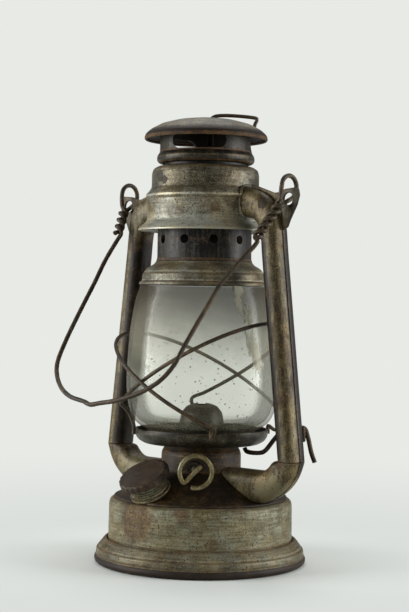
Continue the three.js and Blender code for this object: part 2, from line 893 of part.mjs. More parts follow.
function liftLever() {
  const bend = leverWire + leverPinRadius + gap + gap;
  const hookTop = plateBottom - gap - leverWire;
  const shares = [
    [0, 0],
    [0.03, -0.12],
    [0.28, -0.13],
    [0.36, -0.04],
    [0.54, 0.5],
    [0.68, 0.86],
    [0.82, 1],
  ];
  const run = leverPivotReach - leverHookReach;
  const rise = leverPivotHeight + bend - hookTop;
  const inner = shares.map(([out, up]) => [leverHookReach + run * out, hookTop + rise * up]);
  const over = arc(leverPivotReach, leverPivotHeight, bend, 110, 10, 5);
  const outer = leverEndShares.map(([out, down]) => {
    return [leverPivotReach + bend * out, leverPivotHeight - bend * down];
  });
  const points = [...inner, ...over, ...outer].map(([reach, height]) => {
    return new THREE.Vector3(reach, leverSide, height);
  });
  return wire(smoothed(points, leverSteps), leverWire, wireSides);
}
add("lift_lever", liftLever(), darkWire);

// The bracket lies on the tube's broad side and carries the pin
const bracketFrom = tubeHalfWidth + gap;
const bracketTo = leverSide - leverWire - gap;

function leverBracket() {
  const low = new THREE.Vector3(-bracketHalf, bracketFrom, -bracketHalf);
  const high = new THREE.Vector3(bracketHalf, bracketTo, bracketHalf);
  const bore = leverPinRadius + gap;
  const hole = new THREE.CylinderGeometry(bore, bore, overrun + overrun, smallRoundSteps);
  const plate = cut(box(low, high), [hole.translate(0, (bracketFrom + bracketTo) / 2, 0)]);
  return plate.translate(leverPivotReach, 0, leverPivotHeight);
}
add("lever_bracket", leverBracket(), rustySteel);

function leverPin() {
  const end = leverSide + leverWire + gap;
  const length = end - bracketFrom;
  const shaft = new THREE.CylinderGeometry(leverPinRadius, leverPinRadius, length, smallRoundSteps);
  const head = new THREE.CylinderGeometry(leverPinHead, leverPinHead, sheet, smallRoundSteps);
  shaft.translate(0, (end + bracketFrom) / 2, 0);
  head.translate(0, end, 0);
  return join([shaft, head]).translate(leverPivotReach, 0, leverPivotHeight);
}
add("lever_pin", leverPin(), rustySteel);

// Burner: plug in the tank's hole, wick tube, wick, pierced plate and deflector.
// The wick's width lies along the shaft.
const tubeHalfLength = wickWidth / 2 + wickTubeSlack + wickTubeWall;
const tubeHalfThickness = wickThickness / 2 + wickTubeSlack + wickTubeWall;

function block(halfLength, halfThickness, bottom, top) {
  return box(
    new THREE.Vector3(-halfLength, -halfThickness, bottom),
    new THREE.Vector3(halfLength, halfThickness, top),
  );
}

function burnerBase() {
  const flangeBottom = tankHeight + gap;
  const profile = [
    [0, flangeBottom - burnerPlug],
    [burnerHole - gap, flangeBottom - burnerPlug],
    [burnerHole - gap, flangeBottom],
    [burnerFlange, flangeBottom],
    [burnerFlange, flangeBottom + sheet + sheet],
    [burnerHole - sheet, flangeBottom + sheet + sheet],
    [burnerHole - sheet, flangeBottom + burnerHeight],
    [0, flangeBottom + burnerHeight],
  ];
  const way = block(tubeHalfLength + gap, tubeHalfThickness + gap, 0, wickTubeTop);
  return cut(turned(profile, smallRoundSteps), [way]);
}
add("burner_base", burnerBase(), brass, winder);

function wickTube() {
  const outer = block(tubeHalfLength, tubeHalfThickness, wickTubeBottom, wickTubeTop);
  const bore = block(
    tubeHalfLength - wickTubeWall,
    tubeHalfThickness - wickTubeWall,
    wickTubeBottom - overrun,
    wickTubeTop + overrun,
  );
  const windowHalf = wheelSpacing / 2 + wheelThickness;
  const windowRise = wheelRadius + gap;
  const window = box(
    new THREE.Vector3(-windowHalf, -tubeHalfThickness - overrun, winderHeight - windowRise),
    new THREE.Vector3(windowHalf, -wickThickness / 2, winderHeight + windowRise),
  );
  return cut(outer, [bore, window]);
}
add("wick_tube", wickTube(), brass, winder);
add("wick", block(wickWidth / 2, wickThickness / 2, wickBottom, wickTop), cotton, winder);

function airPlate() {
  const holes = Array.from({ length: airHoles }, (_, i) =>
    barUpright(airHoleRadius, airPlateHeight - overrun, airPlateHeight + overrun, holeSteps)
      .translate((deflectorRadius + airPlateRadius) / 2, 0, 0)
      .rotateZ((i * 2 * Math.PI) / airHoles),
  );
  const top = airPlateHeight + sheet;
  return cut(ring(airPlateHole, airPlateRadius, airPlateHeight, top, smallRoundSteps), holes);
}
add("air_plate", airPlate(), brass);

const deflectorShares = [
  [1, 0],
  [1, 0.07],
  [0.92, 0.2],
  [0.92, 0.54],
  [0.84, 0.78],
  [0.62, 0.93],
  [0.33, 0.99],
  [0, 1],
];

function flameDeflector() {
  const rise = deflectorTop - deflectorBottom;
  const profile = deflectorShares.map(([out, up]) => [deflectorRadius * out, deflectorBottom + rise * up]);
  const slot = block(flameSlotLength / 2, flameSlotWidth / 2, wickTop, deflectorTop + overrun);
  return cut(turned(wallOf(profile, sheet), smallRoundSteps), [slot]);
}
add("flame_deflector", flameDeflector(), brass, winder);

// Winder: one wire that is the shaft and the open ring to turn, two toothed wheels and a bush in the collar
function winderKnob() {
  const face = winderReach + winderWire * 3;
  const ringPoints = Array.from({ length: winderRingSteps + 1 }, (_, i) => {
    const angle = toRadians(winderRingStart - (winderRingSweep * i) / winderRingSteps);
    return [face, winderRing * Math.cos(angle), winderRing * Math.sin(angle)];
  });
  const shares = [
    [0, 0],
    [0.25, 0.3],
    [-0.25, -0.2],
    [-0.58, -0.56],
  ];
  const bar = shares.slice(1).map(([across, up]) => [face, winderRing * across, winderRing * up]);
  const shaft = [winderInnerEnd, 0, winderReach / 2, winderReach].map((along) => [along, 0, 0]);
  const corners = [...shaft, ...bar, ...ringPoints].map((point) => new THREE.Vector3(...point));
  const bent = wire(smoothed(corners, winderSteps), winderWire, wireSides);
  return bent.translate(0, winderOffset, winderHeight);
}
add("winder_knob", winderKnob(), paleWire, winder);

function wheelOutline() {
  const outline = new THREE.Shape();
  Array.from({ length: wheelTeeth * 2 }, (_, i) => {
    const radius = i % 2 ? wheelRadius - wheelToothDepth : wheelRadius;
    const angle = (i * Math.PI) / wheelTeeth;
    const point = [radius * Math.cos(angle), radius * Math.sin(angle)];
    return i ? outline.lineTo(...point) : outline.moveTo(...point);
  });
  return outline;
}

function wickWheels() {
  const hubHalf = wheelSpacing / 2 + wheelThickness / 2;
  const wheels = [-1, 1].map((side) =>
    new THREE.ExtrudeGeometry(wheelOutline(), { depth: wheelThickness, bevelEnabled: false })
      .translate(0, 0, -wheelThickness / 2)
      .rotateY(Math.PI / 2)
      .translate((side * wheelSpacing) / 2, 0, 0),
  );
  const hub = barAlongX((winderWire + wheelRadius) / 2, -hubHalf, hubHalf);
  const bore = barAlongX(winderWire + gap, -overrun, overrun);
  return cut(join([hub, ...wheels]), [bore]).translate(0, winderOffset, winderHeight);
}
add("wick_wheels", wickWheels(), brass, winder);

function winderBush() {
  const body = barAlongX(bushRadius, bushInner, bushOuter);
  return cut(body, [barAlongX(winderWire + gap, 0, winderReach)]).translate(0, winderOffset, winderHeight);
}
add("winder_bush", winderBush(), brass, winder);

function shaftBracket() {
  const outer = -tubeHalfLength - gap;
  const half = wheelRadius + sheet;
  const low = new THREE.Vector3(outer - sheet - gap, winderOffset - bushRadius, winderHeight - half);
  const high = new THREE.Vector3(outer, tubeHalfThickness, winderHeight + half);
  const bar = barAlongX(winderWire + gap, winderInnerEnd - overrun, 0);
  const hole = bar.translate(0, winderOffset, winderHeight);
  return cut(box(low, high), [hole]);
}
add("shaft_bracket", shaftBracket(), brass, winder);

// Filler: threaded neck, seal and screw cap, all in the leaning frame
function fillerNeck() {
  const pitch = (capBottom - fillerFlangeThickness) / (fillerThreads + 1);
  const threads = Array.from({ length: fillerThreads }, (_, i) => {
    const height = fillerFlangeThickness + pitch * (i + 1);
    return [
      [fillerRadius, height - pitch / 2],
      [fillerRadius + fillerThread, height - pitch / 8],
      [fillerRadius + fillerThread, height + pitch / 8],
    ];
  }).flat();
  return turned(
    [
      [fillerBore, -fillerDepth],
      [fillerRadius, -fillerDepth],
      [fillerRadius, 0],
      [fillerFlange, 0],
      [fillerFlange, fillerFlangeThickness],
      [fillerRadius, fillerFlangeThickness + gap],
      ...threads,
      [fillerRadius, capBottom],
      [fillerRadius, fillerRise],
      [fillerBore, fillerRise],
    ],
    smallRoundSteps,
  );
}
add("filler_neck", fillerNeck(), galvanised, fillerLean);
const sealBottom = fillerRise + gap;
add(
  "cap_seal",
  ring(sealThickness, fillerRadius + gap, sealBottom, sealBottom + sealThickness, smallRoundSteps),
  rubber,
  fillerLean,
);

function fillerCap() {
  const outline = new THREE.Shape();
  const points = capGrips * 2;
  Array.from({ length: points }, (_, i) => {
    const radius = i % 2 ? capRadius - capGripDepth : capRadius;
    const angle = (i * 2 * Math.PI) / points;
    const point = [radius * Math.cos(angle), radius * Math.sin(angle)];
    return i ? outline.lineTo(...point) : outline.moveTo(...point);
  });
  const settings = { depth: capTop - capBottom - capTopThickness / 2, bevelEnabled: false };
  const skirt = new THREE.ExtrudeGeometry(outline, settings).translate(0, 0, capBottom);
  const lid = turned(
    [
      [0, capTop - capTopThickness],
      [capRadius - capGripDepth, capTop - capTopThickness],
      [capRadius - capGripDepth - gap, capTop - gap],
      [capRadius * capLidShare, capTop],
      [0, capTop],
    ],
    smallRoundSteps * 2,
  );
  const boreRadius = fillerRadius + fillerThread + gap;
  const bore = ring(0, boreRadius, capBottom - overrun, capTop - capTopThickness, smallRoundSteps);
  return cut(join([skirt, lid]), [bore]);
}
add("filler_cap", fillerCap(), brownPaint, fillerLean);

// Ears: a flat plate in each tube's own plane. It runs down from the crown over the horn, widens into
// the ear and ends on the tube's outer face. Its points are shares of its length and of its height.
const hingeHeight = earHoleHeight + eyeRadius;
const earReach = tubeReachAt(earHoleHeight) + tubeHalfDepth + earOverhang;
const earOutlineShares = [
  [0.622, 0],
  [0.768, 0.086],
  [0.821, 0.259],
  [0.955, 0.603],
  [1, 0.819],
  [0.979, 0.957],
  [0.917, 1],
  [0.708, 0.974],
  [0.574, 0.905],
  [0.485, 0.9],
  [0.247, 1.017],
  [0.054, 1.112],
  [0, 1.129],
  [0, 0.948],
];

function ear() {
  const inner = crownRadius + crownBead + earThickness;
  const length = earReach + earHead - inner;
  const bottom = earHoleHeight - earDrop;
  const height = earDrop + earRise;
  const outline = new THREE.Shape(
    earOutlineShares.map(([along, up]) => new THREE.Vector2(inner + length * along, bottom + height * up)),
  );
  const settings = { depth: earThickness, bevelEnabled: false };
  const flat = new THREE.ExtrudeGeometry(outline, settings);
  const plate = flat.rotateX(Math.PI / 2).translate(0, earThickness / 2, 0);
  const hole = barAlongX(earHoleRadius, -overrun, overrun)
    .rotateZ(Math.PI / 2)
    .translate(earReach, 0, earHoleHeight);
  return cut(plate, [hole, tubeSkin(airTube(), -gap)]);
}
sides.forEach(([side, turn]) => {
  add("ear_" + side, ear().rotateZ(turn), galvanised);
});

// Handle: one wire. Each end makes an eye through its ear and winds back round itself.
// A point is across (along X), down (along the leaning handle) and out (away from the lamp).
function handlePoint(across, down, out) {
  const lean = toRadians(handleLean);
  return new THREE.Vector3(
    across,
    -down * Math.sin(lean) - out * Math.cos(lean),
    hingeHeight - down * Math.cos(lean) + out * Math.sin(lean),
  );
}

// A strand of a twisted end, wound round an axis from the eye towards the middle of the handle
function strand(side, [end, length, turns], phase) {
  const start = new THREE.Vector2(earReach - twistShift, twistStart);
  const axis = new THREE.Vector2(end, twistStart + length).sub(start);
  const aside = new THREE.Vector2(axis.y, -axis.x).normalize();
  const steps = turns * strandSteps;
  return Array.from({ length: steps + 1 }, (_, i) => {
    const share = i / steps;
    const angle = phase + 2 * Math.PI * turns * share;
    const place = start.clone().addScaledVector(axis, share);
    place.addScaledVector(aside, strandReach * Math.cos(angle));
    return handlePoint(side * place.x, place.y, strandReach * Math.sin(angle));
  });
}

// The eye, from the outer side of the handle round to its inner side
function eye(side) {
  return Array.from({ length: eyeSteps + 1 }, (_, i) => {
    const angle = toRadians(eyeOpening / 2 + ((360 - eyeOpening) * i) / eyeSteps);
    return handlePoint(side * earReach, eyeRadius * Math.cos(angle), eyeRadius * Math.sin(angle));
  });
}

// The open part of the handle, as shares of the ear's reach and of the handle's length
const handleShares = [
  [0.774, 0.365],
  [0.69, 0.445],
  [0.655, 0.537],
  [0.614, 0.637],
  [0.585, 0.725],
  [0.559, 0.813],
  [0.48, 0.879],
  [0.35, 0.925],
  [0.201, 0.957],
  [0.037, 0.98],
  [-0.113, 0.993],
  [-0.225, 1.003],
  [-0.323, 0.992],
  [-0.527, 0.975],
  [-0.692, 0.94],
  [-0.827, 0.885],
  [-0.899, 0.829],
  [-0.926, 0.734],
  [-0.925, 0.583],
  [-0.912, 0.442],
  [-0.91, 0.33],
];

function handlePath() {
  const right = [rightTwistEnd, rightTwistLength, rightTwistTurns];
  const left = [leftTwistEnd, leftTwistLength, leftTwistTurns];
  const quarter = Math.PI / 2;
  const corners = [
    ...strand(1, right, quarter).reverse(),
    ...eye(1),
    ...strand(1, right, -quarter),
    ...handleShares.map(([across, down]) => handlePoint(earReach * across, handleLength * down, 0)),
    ...strand(-1, left, -quarter).reverse(),
    ...eye(-1).reverse(),
    ...strand(-1, left, quarter),
  ];
  return new THREE.CatmullRomCurve3(corners, false, "centripetal").getPoints(2 * (corners.length - 1));
}

// The least gap between two stretches of the wire that lie at least a turn of the wire apart along it
function leastGap(points, radius) {
  const along = [0];
  points.slice(1).forEach((point, i) => along.push(along[i] + point.distanceTo(points[i])));
  const turn = 2 * Math.PI * radius;
  const apart = points.flatMap((point, i) =>
    points.filter((_, k) => along[k] - along[i] > turn).map((other) => point.distanceTo(other)),
  );
  return Math.min(...apart) - radius - radius;
}

const path = handlePath();
console.log("handle's least gap to itself: " + leastGap(path, handleWire).toFixed(2) + " mm");
add("handle", wire(path, handleWire, wireSides), darkWire);

export default lantern;
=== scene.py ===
"""Hurricane lantern. Spun, pressed and bent pieces with worn finishes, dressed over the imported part."""

import math

import bpy
from mathutils import Matrix, Vector


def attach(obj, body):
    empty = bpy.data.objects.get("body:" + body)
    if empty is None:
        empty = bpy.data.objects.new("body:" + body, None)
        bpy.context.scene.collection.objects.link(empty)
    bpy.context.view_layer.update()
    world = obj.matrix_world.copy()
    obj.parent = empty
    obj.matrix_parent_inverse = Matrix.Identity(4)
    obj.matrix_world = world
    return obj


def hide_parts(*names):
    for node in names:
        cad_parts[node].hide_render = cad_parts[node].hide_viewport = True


bl_info = {
    "name": "Hurricane lantern",
    "version": (1, 0, 0),
    "blender": (4, 5, 0),
    "location": "View3D > Sidebar > Lantern",
    "description": "Builds a worn kerosene lantern with its stage",
    "category": "Add Mesh",
}

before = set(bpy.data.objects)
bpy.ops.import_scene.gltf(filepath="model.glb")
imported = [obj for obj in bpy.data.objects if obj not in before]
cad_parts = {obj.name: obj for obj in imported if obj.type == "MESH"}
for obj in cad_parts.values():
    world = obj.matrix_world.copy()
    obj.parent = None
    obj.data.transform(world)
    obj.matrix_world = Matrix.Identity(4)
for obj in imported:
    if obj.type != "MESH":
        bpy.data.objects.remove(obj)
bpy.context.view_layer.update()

MM = 0.001
UP = Vector((0, 0, 1))
SIDES = (("right", 1), ("left", -1))


def size(name, description, default):
    """A length in metres that a user may change."""
    return bpy.props.FloatProperty(
        name=name, description=description, default=default, unit="LENGTH", precision=5
    )


def tint(name, description, red, green, blue):
    """A colour given as the 0 to 255 values that a picture shows."""
    linear = [((v / 255 + 0.055) / 1.055) ** 2.4 if v > 10 else v / 255 / 12.92 for v in (red, green, blue)]
    return bpy.props.FloatVectorProperty(
        name=name, description=description, default=linear, subtype="COLOR", size=3, min=0, max=1
    )


class LanternSizes(bpy.types.PropertyGroup):
    """Sizes of the lantern's own pieces."""

    sheet: size("Sheet", "Thickness of the cone's, crown's and chimney's sheet", 0.0008)
    handle_wire: size("Handle wire", "Radius of the handle's wire", 0.0013)
    guard_wire: size("Guard wire", "Radius of the wires round the globe", 0.0011)
    lever_wire: size("Lever wire", "Radius of the lift lever's wire", 0.0013)
    loop_wire: size("Loop wire", "Radius of the wire loop on the hood", 0.00108)
    winder_wire: size("Winder wire", "Radius of the winder's wire", 0.0013)
    globe_wall: size("Globe wall", "Thickness of the glass", 0.002)
    solder_bead: size("Solder bead", "Radius of the solder where a tube meets the crown", 0.0009)
    turns: bpy.props.IntProperty(
        name="Steps round", description="Steps round a spun piece", default=96, min=24
    )


class LanternColours(bpy.types.PropertyGroup):
    """Colours of the finishes and the stage."""

    rust: tint("Rust", "Brown rust", 104, 74, 38)
    rust_dark: tint("Dark rust", "Old dark rust", 38, 27, 15)
    soot: tint("Soot", "Soot and smoke", 18, 16, 13)
    haze: tint("Haze", "White bloom on the glass", 198, 194, 170)
    smoke: tint("Smoke", "Smoke film on the glass", 64, 55, 38)
    foot_film: tint("Foot film", "Dull film at the foot of the glass", 112, 106, 88)
    cotton: tint("Cotton", "Wick", 150, 134, 104)
    rubber: tint("Rubber", "Cap seal", 38, 34, 30)
    backdrop: tint("Backdrop", "Pale backdrop", 232, 234, 230)
    floor: tint("Floor", "Pale floor", 218, 222, 218)


FINISHES = {
    "tank": ((62, 52, 30), (100, 94, 70), (136, 133, 112)),
    "base": ((46, 39, 25), (90, 84, 65), (126, 121, 100)),
    "foot": ((14, 9, 5), (33, 22, 14), (58, 44, 30)),
    "cone": ((10, 6, 2), (36, 25, 11), (102, 80, 45)),
    "crown": ((48, 42, 30), (102, 97, 81), (162, 158, 141)),
    "neck": ((5, 4, 2), (17, 14, 9), (64, 62, 57)),
    "skirt": ((44, 36, 24), (90, 84, 67), (146, 141, 123)),
    "hood": ((30, 21, 12), (90, 85, 67), (138, 134, 114)),
    "vents": ((8, 5, 2), (23, 18, 10), (76, 70, 53)),
    "tube": ((16, 10, 3), (51, 41, 22), (106, 96, 68)),
    "plate": ((10, 8, 4), (36, 32, 22), (94, 89, 72)),
    "wire": ((16, 11, 5), (49, 38, 24), (104, 88, 62)),
    "winder": ((50, 44, 27), (110, 103, 75), (162, 157, 129)),
    "cap": ((24, 15, 8), (45, 32, 19), (78, 62, 44)),
    "thread": ((30, 26, 16), (92, 86, 66), (160, 156, 133)),
    "brass": ((18, 14, 8), (44, 38, 27), (80, 71, 53)),
}
LEVELS = ("dark", "body", "pale")
for finish_name, levels in FINISHES.items():
    for level, shade in zip(LEVELS, levels):
        label = f"{finish_name.capitalize()}, {level}"
        note = f"{level.capitalize()} tone of the {finish_name}"
        LanternColours.__annotations__[f"{finish_name}_{level}"] = tint(label, note, *shade)


def sizes():
    return bpy.context.scene.lantern_sizes


def colours():
    return bpy.context.scene.lantern_colours


def millimetres(length):
    """A length in metres as millimetres, without the tail of its single precision."""
    return round(length / MM, 4)


# Shader nodes


class Value:
    """One socket of a shader, with arithmetic that adds the nodes for it."""

    def __init__(self, shader, socket):
        self.shader = shader
        self.socket = socket

    def maths(self, operation, *terms):
        return self.shader.node("ShaderNodeMath", {"operation": operation}, dict(enumerate(terms)))

    def __add__(self, other):
        return self.maths("ADD", self, other)

    def __sub__(self, other):
        return self.maths("SUBTRACT", self, other)

    def __mul__(self, other):
        return self.maths("MULTIPLY", self, other)

    def __radd__(self, other):
        return self.maths("ADD", other, self)

    def __rsub__(self, other):
        return self.maths("SUBTRACT", other, self)

    def __rmul__(self, other):
        return self.maths("MULTIPLY", other, self)

    def __abs__(self):
        return self.maths("ABSOLUTE", self)

    def least(self, other):
        return self.maths("MINIMUM", self, other)

    def most(self, other):
        return self.maths("MAXIMUM", self, other)


class Shader:
    """One material and the nodes in it."""

    def __init__(self, name):
        self.material = bpy.data.materials.new(name)
        self.material.use_nodes = True
        self.tree = self.material.node_tree
        self.tree.nodes.clear()
        here = self.node("ShaderNodeTexCoord", {}, {}, "Object")
        self.place = self.node("ShaderNodeVectorMath", {"operation": "SCALE"}, {0: here, "Scale": 1 / MM})
        self.across, self.along, self.height = [
            self.node("ShaderNodeSeparateXYZ", {}, {0: self.place}, axis) for axis in "XYZ"
        ]

    def node(self, kind, settings, sockets, output=0):
        """Adds a node, applies its settings, fills its sockets and gives one output."""
        made = self.tree.nodes.new(kind)
        for key, value in settings.items():
            if key == "stops":
                ramp = made.color_ramp.elements
                while len(ramp) < len(value):
                    ramp.new(1)
                for element, (position, colour) in zip(ramp, value):
                    element.position = position
                    element.color = (*colour, 1)
            else:
                setattr(made, key, value)
        for key, value in sockets.items():
            if isinstance(value, Value):
                self.tree.links.new(value.socket, made.inputs[key])
            else:
                socket = made.inputs[key]
                is_colour = socket.type == "RGBA" and len(value) == 3
                socket.default_value = (*value, 1) if is_colour else value
        return Value(self, made.outputs[output])

    def noise(self, scale, detail, roughness, shift=(0, 0, 0), stretch=(1, 1, 1)):
        """Noise whose features are about 1 / scale millimetres across."""
        mapping = {"Vector": self.place, "Location": shift, "Scale": stretch}
        spot = self.node("ShaderNodeMapping", {}, mapping)
        sockets = {"Vector": spot, "Scale": scale, "Detail": detail, "Roughness": roughness}
        return self.node("ShaderNodeTexNoise", {}, sockets)

    def dots(self, scale, shift):
        """Distance from scattered points."""
        spot = self.node("ShaderNodeMapping", {}, {"Vector": self.place, "Location": shift})
        return self.node("ShaderNodeTexVoronoi", {}, {"Vector": spot, "Scale": scale}, "Distance")

    def ease(self, value, low, high):
        """0 below low and 1 above high, or the other way round."""
        settings = {"interpolation_type": "SMOOTHSTEP"}
        sockets = {"Value": value, "From Min": low, "From Max": high}
        return self.node("ShaderNodeMapRange", settings, sockets)

    def band(self, middle, reach, value=None):
        """1 at a height and 0 beyond its reach."""
        distance = abs((value or self.height) - middle)
        return self.ease(distance, reach, 0)

    def mix(self, share, first, second, blend="MIX"):
        """The first colour where the share is 0 and the second, or their blend, where it is 1."""
        settings = {"data_type": "RGBA", "blend_type": blend, "clamp_factor": True}
        return self.node("ShaderNodeMix", settings, {0: share, 6: first, 7: second}, 2)

    def relief(self, height, depth):
        """A bump of the given depth in millimetres."""
        sockets = {"Height": height, "Distance": depth * MM, "Strength": 1.0}
        return self.node("ShaderNodeBump", {}, sockets)

    def surface(self, colour, roughness, metallic, normal=None, **fixed):
        sockets = {"Base Color": colour, "Roughness": roughness, "Metallic": metallic}
        if normal:
            sockets["Normal"] = normal
        sockets.update({key.replace("_", " "): value for key, value in fixed.items()})
        return self.node("ShaderNodeBsdfPrincipled", {}, sockets)

    def finish(self, shader):
        output = self.tree.nodes.new("ShaderNodeOutputMaterial")
        self.tree.links.new(shader.socket, output.inputs[0])
        return self.material


def patina(
    name, tones, brushed, upright=False, rusted=0.3, chipped=0.1, metal=0.3, matt=0.5,
    lines=(), spots=(), tone=None,
):
    """Old sheet metal between a dark and a pale tone, brushed round or upright.

    Each line is a height with its reach and strength: rusty where the strength is above zero, paler where it
    is below, which the crown, the base and the tubes use for painted highlights. Each spot is a place with
    its reach and strength, by the same rule, and above 1 it is chipped. The tone function gives the darkness
    of a seam and a lift of the tone at every place; for the tubes these also hold painted shade and painted
    light.
    """
    s = Shader(name)
    broad = s.noise(0.03, 3, 0.5)
    middle = s.noise(0.16, 5, 0.62, (31, 7, 3))
    fine = s.noise(1.2, 4, 0.7, (3, 19, 5))
    brush = s.noise(0.6, 4, 0.65, (11, 2, 8), (1, 1, 0.1) if upright else (0.13, 0.13, 1.7))
    stain = s.noise(0.07, 7, 0.68, (5, 41, 17))
    chips = s.noise(0.36, 7, 0.72, (23, 13, 29))
    level = (broad - 0.5) * 0.5 + (middle - 0.5) * 0.7 + (fine - 0.5) * 1.1 + (brush - 0.5) * brushed + 0.5
    rust_mask = s.ease(stain + (fine - 0.5) * 0.35, 0.66 - 0.2 * rusted, 0.8 - 0.2 * rusted)
    chip_mask = s.ease(chips, 0.69 - 0.1 * chipped, 0.71 - 0.1 * chipped)
    patches = [(s.band(height, reach), strength) for height, reach, strength in lines]
    for place, reach, strength in spots:
        away = s.node("ShaderNodeVectorMath", {"operation": "DISTANCE"}, {0: s.place, 1: place}, "Value")
        patches.append((s.ease(away + (middle - 0.5) * reach, reach, reach * 0.3), strength))
    for patch, strength in patches:
        edge = patch * min(abs(strength), 1) + (middle - 0.5) * 0.8 + (fine - 0.5) * 0.6
        if strength > 1:
            chip_mask = chip_mask.most(s.ease(edge + (chips - 0.5) * 2, 0.6, 0.75))
        elif strength > 0:
            rust_mask = rust_mask.most(s.ease(edge, 0.25, 0.85))
        else:
            # A paler patch, which the crown's bead and flare edge, the base's step and the right elbow use as
            # a painted highlight.
            level = level + s.ease(edge, 0.25, 0.85) * 0.28
    seam = None
    if tone:
        # For the tubes the seam also holds a painted shade line, and the lift holds painted shade and painted
        # light.
        seam, lift = tone(s, fine)
        level = level + lift
    stops = [
        (position, tuple(getattr(colours(), f"{tones}_{key}")))
        for position, key in zip((0.2, 0.5, 0.84), LEVELS)
    ]
    colour = s.node("ShaderNodeValToRGB", {"stops": stops}, {0: level})
    hue = s.ease(s.noise(0.055, 4, 0.6, (17, 5, 23)) + (brush - 0.5) * 0.2, 0.4, 0.6)
    colour = s.mix(0.8, colour, s.mix(hue, (1.1, 1.0, 0.8), (0.93, 1.0, 1.08)), "MULTIPLY")
    rusty = s.mix(s.ease(fine * 0.6 + middle * 0.4, 0.38, 0.62), colours().rust_dark, colours().rust)
    colour = s.mix(rust_mask * 0.7, colour, rusty)
    colour = s.mix(chip_mask * 0.85, colour, colours().rust_dark)
    pit_mask = s.ease(s.dots(0.45, (9, 4, 2)), 0.24, 0.14) * s.ease(middle, 0.44, 0.56)
    colour = s.mix(pit_mask * 0.85, colour, colours().soot)
    # For the tubes this soot mix also lays a painted shade line along a creased line.
    if seam:
        colour = s.mix(seam, colour, colours().soot)
    rough = matt + (fine - 0.5) * 0.25 + rust_mask * 0.2 + chip_mask * 0.2
    shine = metal * (1 - rust_mask * 0.8) * (1 - chip_mask * 0.8)
    grain = fine * 0.3 + middle * 0.3 + brush * 0.15
    height = grain + rust_mask * fine * 0.4 - chip_mask * 0.7 - pit_mask * 0.6
    return s.finish(s.surface(colour, rough, shine, s.relief(height, 0.3), Specular_IOR_Level=0.3))


def once(name, *settings, **more):
    """A finish that several pieces share is made only once."""
    return bpy.data.materials.get(name) or patina(name, *settings, **more)


def tin_tank():
    lines = [(36.0, 1.0, 0.6), (14.2, 0.9, 0.7), (32, 7, -0.4), (34.4, 1.6, 0.35)]
    spots = [
        ((1, -51, 28), 19, 0.95),
        ((27, -44, 33), 8, 0.8),
        ((40, -33, 17), 7, 0.7),
        ((50, 10, 26), 13, -0.45),
    ]
    return once("tin_tank", "tank", 1.0, rusted=0.34, chipped=0.08, lines=lines, spots=spots)


def tin_base():
    # The pale line at 9.6, on the flange's step, is a painted highlight.
    lines = [(13.4, 0.9, 0.7), (8.6, 0.8, 0.7), (9.6, 1.0, -0.7), (5.0, 0.6, 0.8)]
    return once("tin_base", "base", 0.9, rusted=0.34, chipped=0.15, lines=lines)


def dark_foot():
    return once("dark_foot", "foot", 0.3, rusted=0.1, metal=0.1, matt=0.6)


def rusty_cone():
    lines = [(52.4, 1.0, 0.9), (62.4, 0.9, 0.8), (60.6, 0.8, -0.6)]
    return once("rusty_cone", "cone", 0.3, rusted=0.4, metal=0.15, matt=0.55, lines=lines)


def crown_tone(s, fine):
    """The crown is paler at its flare and darker above its bead."""
    return None, s.ease(s.height, 195, 190) * 0.22 - s.ease(s.height + fine * 2, 206, 210) * 0.16


def tin_crown():
    # The pale lines on the bead at 204.3 and on the flare's edge at 185.6 are painted highlights.
    lines = [(204.3, 1.1, -1.0), (202.6, 0.6, 0.7), (185.6, 1.2, -1.0), (219.4, 1.0, 0.6), (187.4, 0.5, 0.4)]
    spots = [
        ((-7, -29, 215), 5, 1.1),
        ((-3, -30, 212), 4, 1.1),
        ((-16, -28, 197), 6, 0.8),
        ((26, -20, 197), 5, 0.8),
    ]
    marks = {"lines": lines, "spots": spots, "tone": crown_tone}
    return once("tin_crown", "crown", 0.6, chipped=0.3, metal=0.4, matt=0.42, **marks)


def tin_neck():
    lines = [(188.6, 2.0, 0.9), (180, 4.2, 0.4), (169, 1.4, 0.9)]
    return once("tin_neck", "neck", 1.2, upright=True, rusted=0.15, metal=0.35, matt=0.42, lines=lines)


def tin_skirt():
    lines = [(156.4, 0.7, 0.8), (157.3, 0.8, -1.0), (161.0, 0.6, 0.7), (162.2, 1.0, -0.9), (165.8, 1.0, 0.5)]
    return once("tin_skirt", "skirt", 0.6, chipped=0.25, metal=0.35, matt=0.45, lines=lines)


def tin_vents():
    lines = [(238.6, 2.0, 0.6), (229.4, 0.9, 0.9), (226, 1.2, -0.7), (223.2, 0.8, 0.8)]
    return once("tin_vents", "vents", 0.7, upright=True, metal=0.35, matt=0.42, lines=lines)


def hood_tone(s, fine):
    """The hood's rim is browner than its top."""
    return None, s.ease(s.height + fine, 243, 239.5) * -0.5


def tin_hood():
    lines = [(236.6, 2.6, 1.0), (246, 4, -0.4)]
    return once("tin_hood", "hood", 0.5, chipped=0.15, metal=0.2, lines=lines, tone=hood_tone)


def dull_soot():
    s = Shader("dull_soot")
    grain = s.noise(0.9, 4, 0.6)
    colour = s.mix(grain, colours().soot, colours().rust_dark)
    return s.finish(s.surface(colour, 0.85, 0.0, s.relief(grain, 0.1), Specular_IOR_Level=0.2))


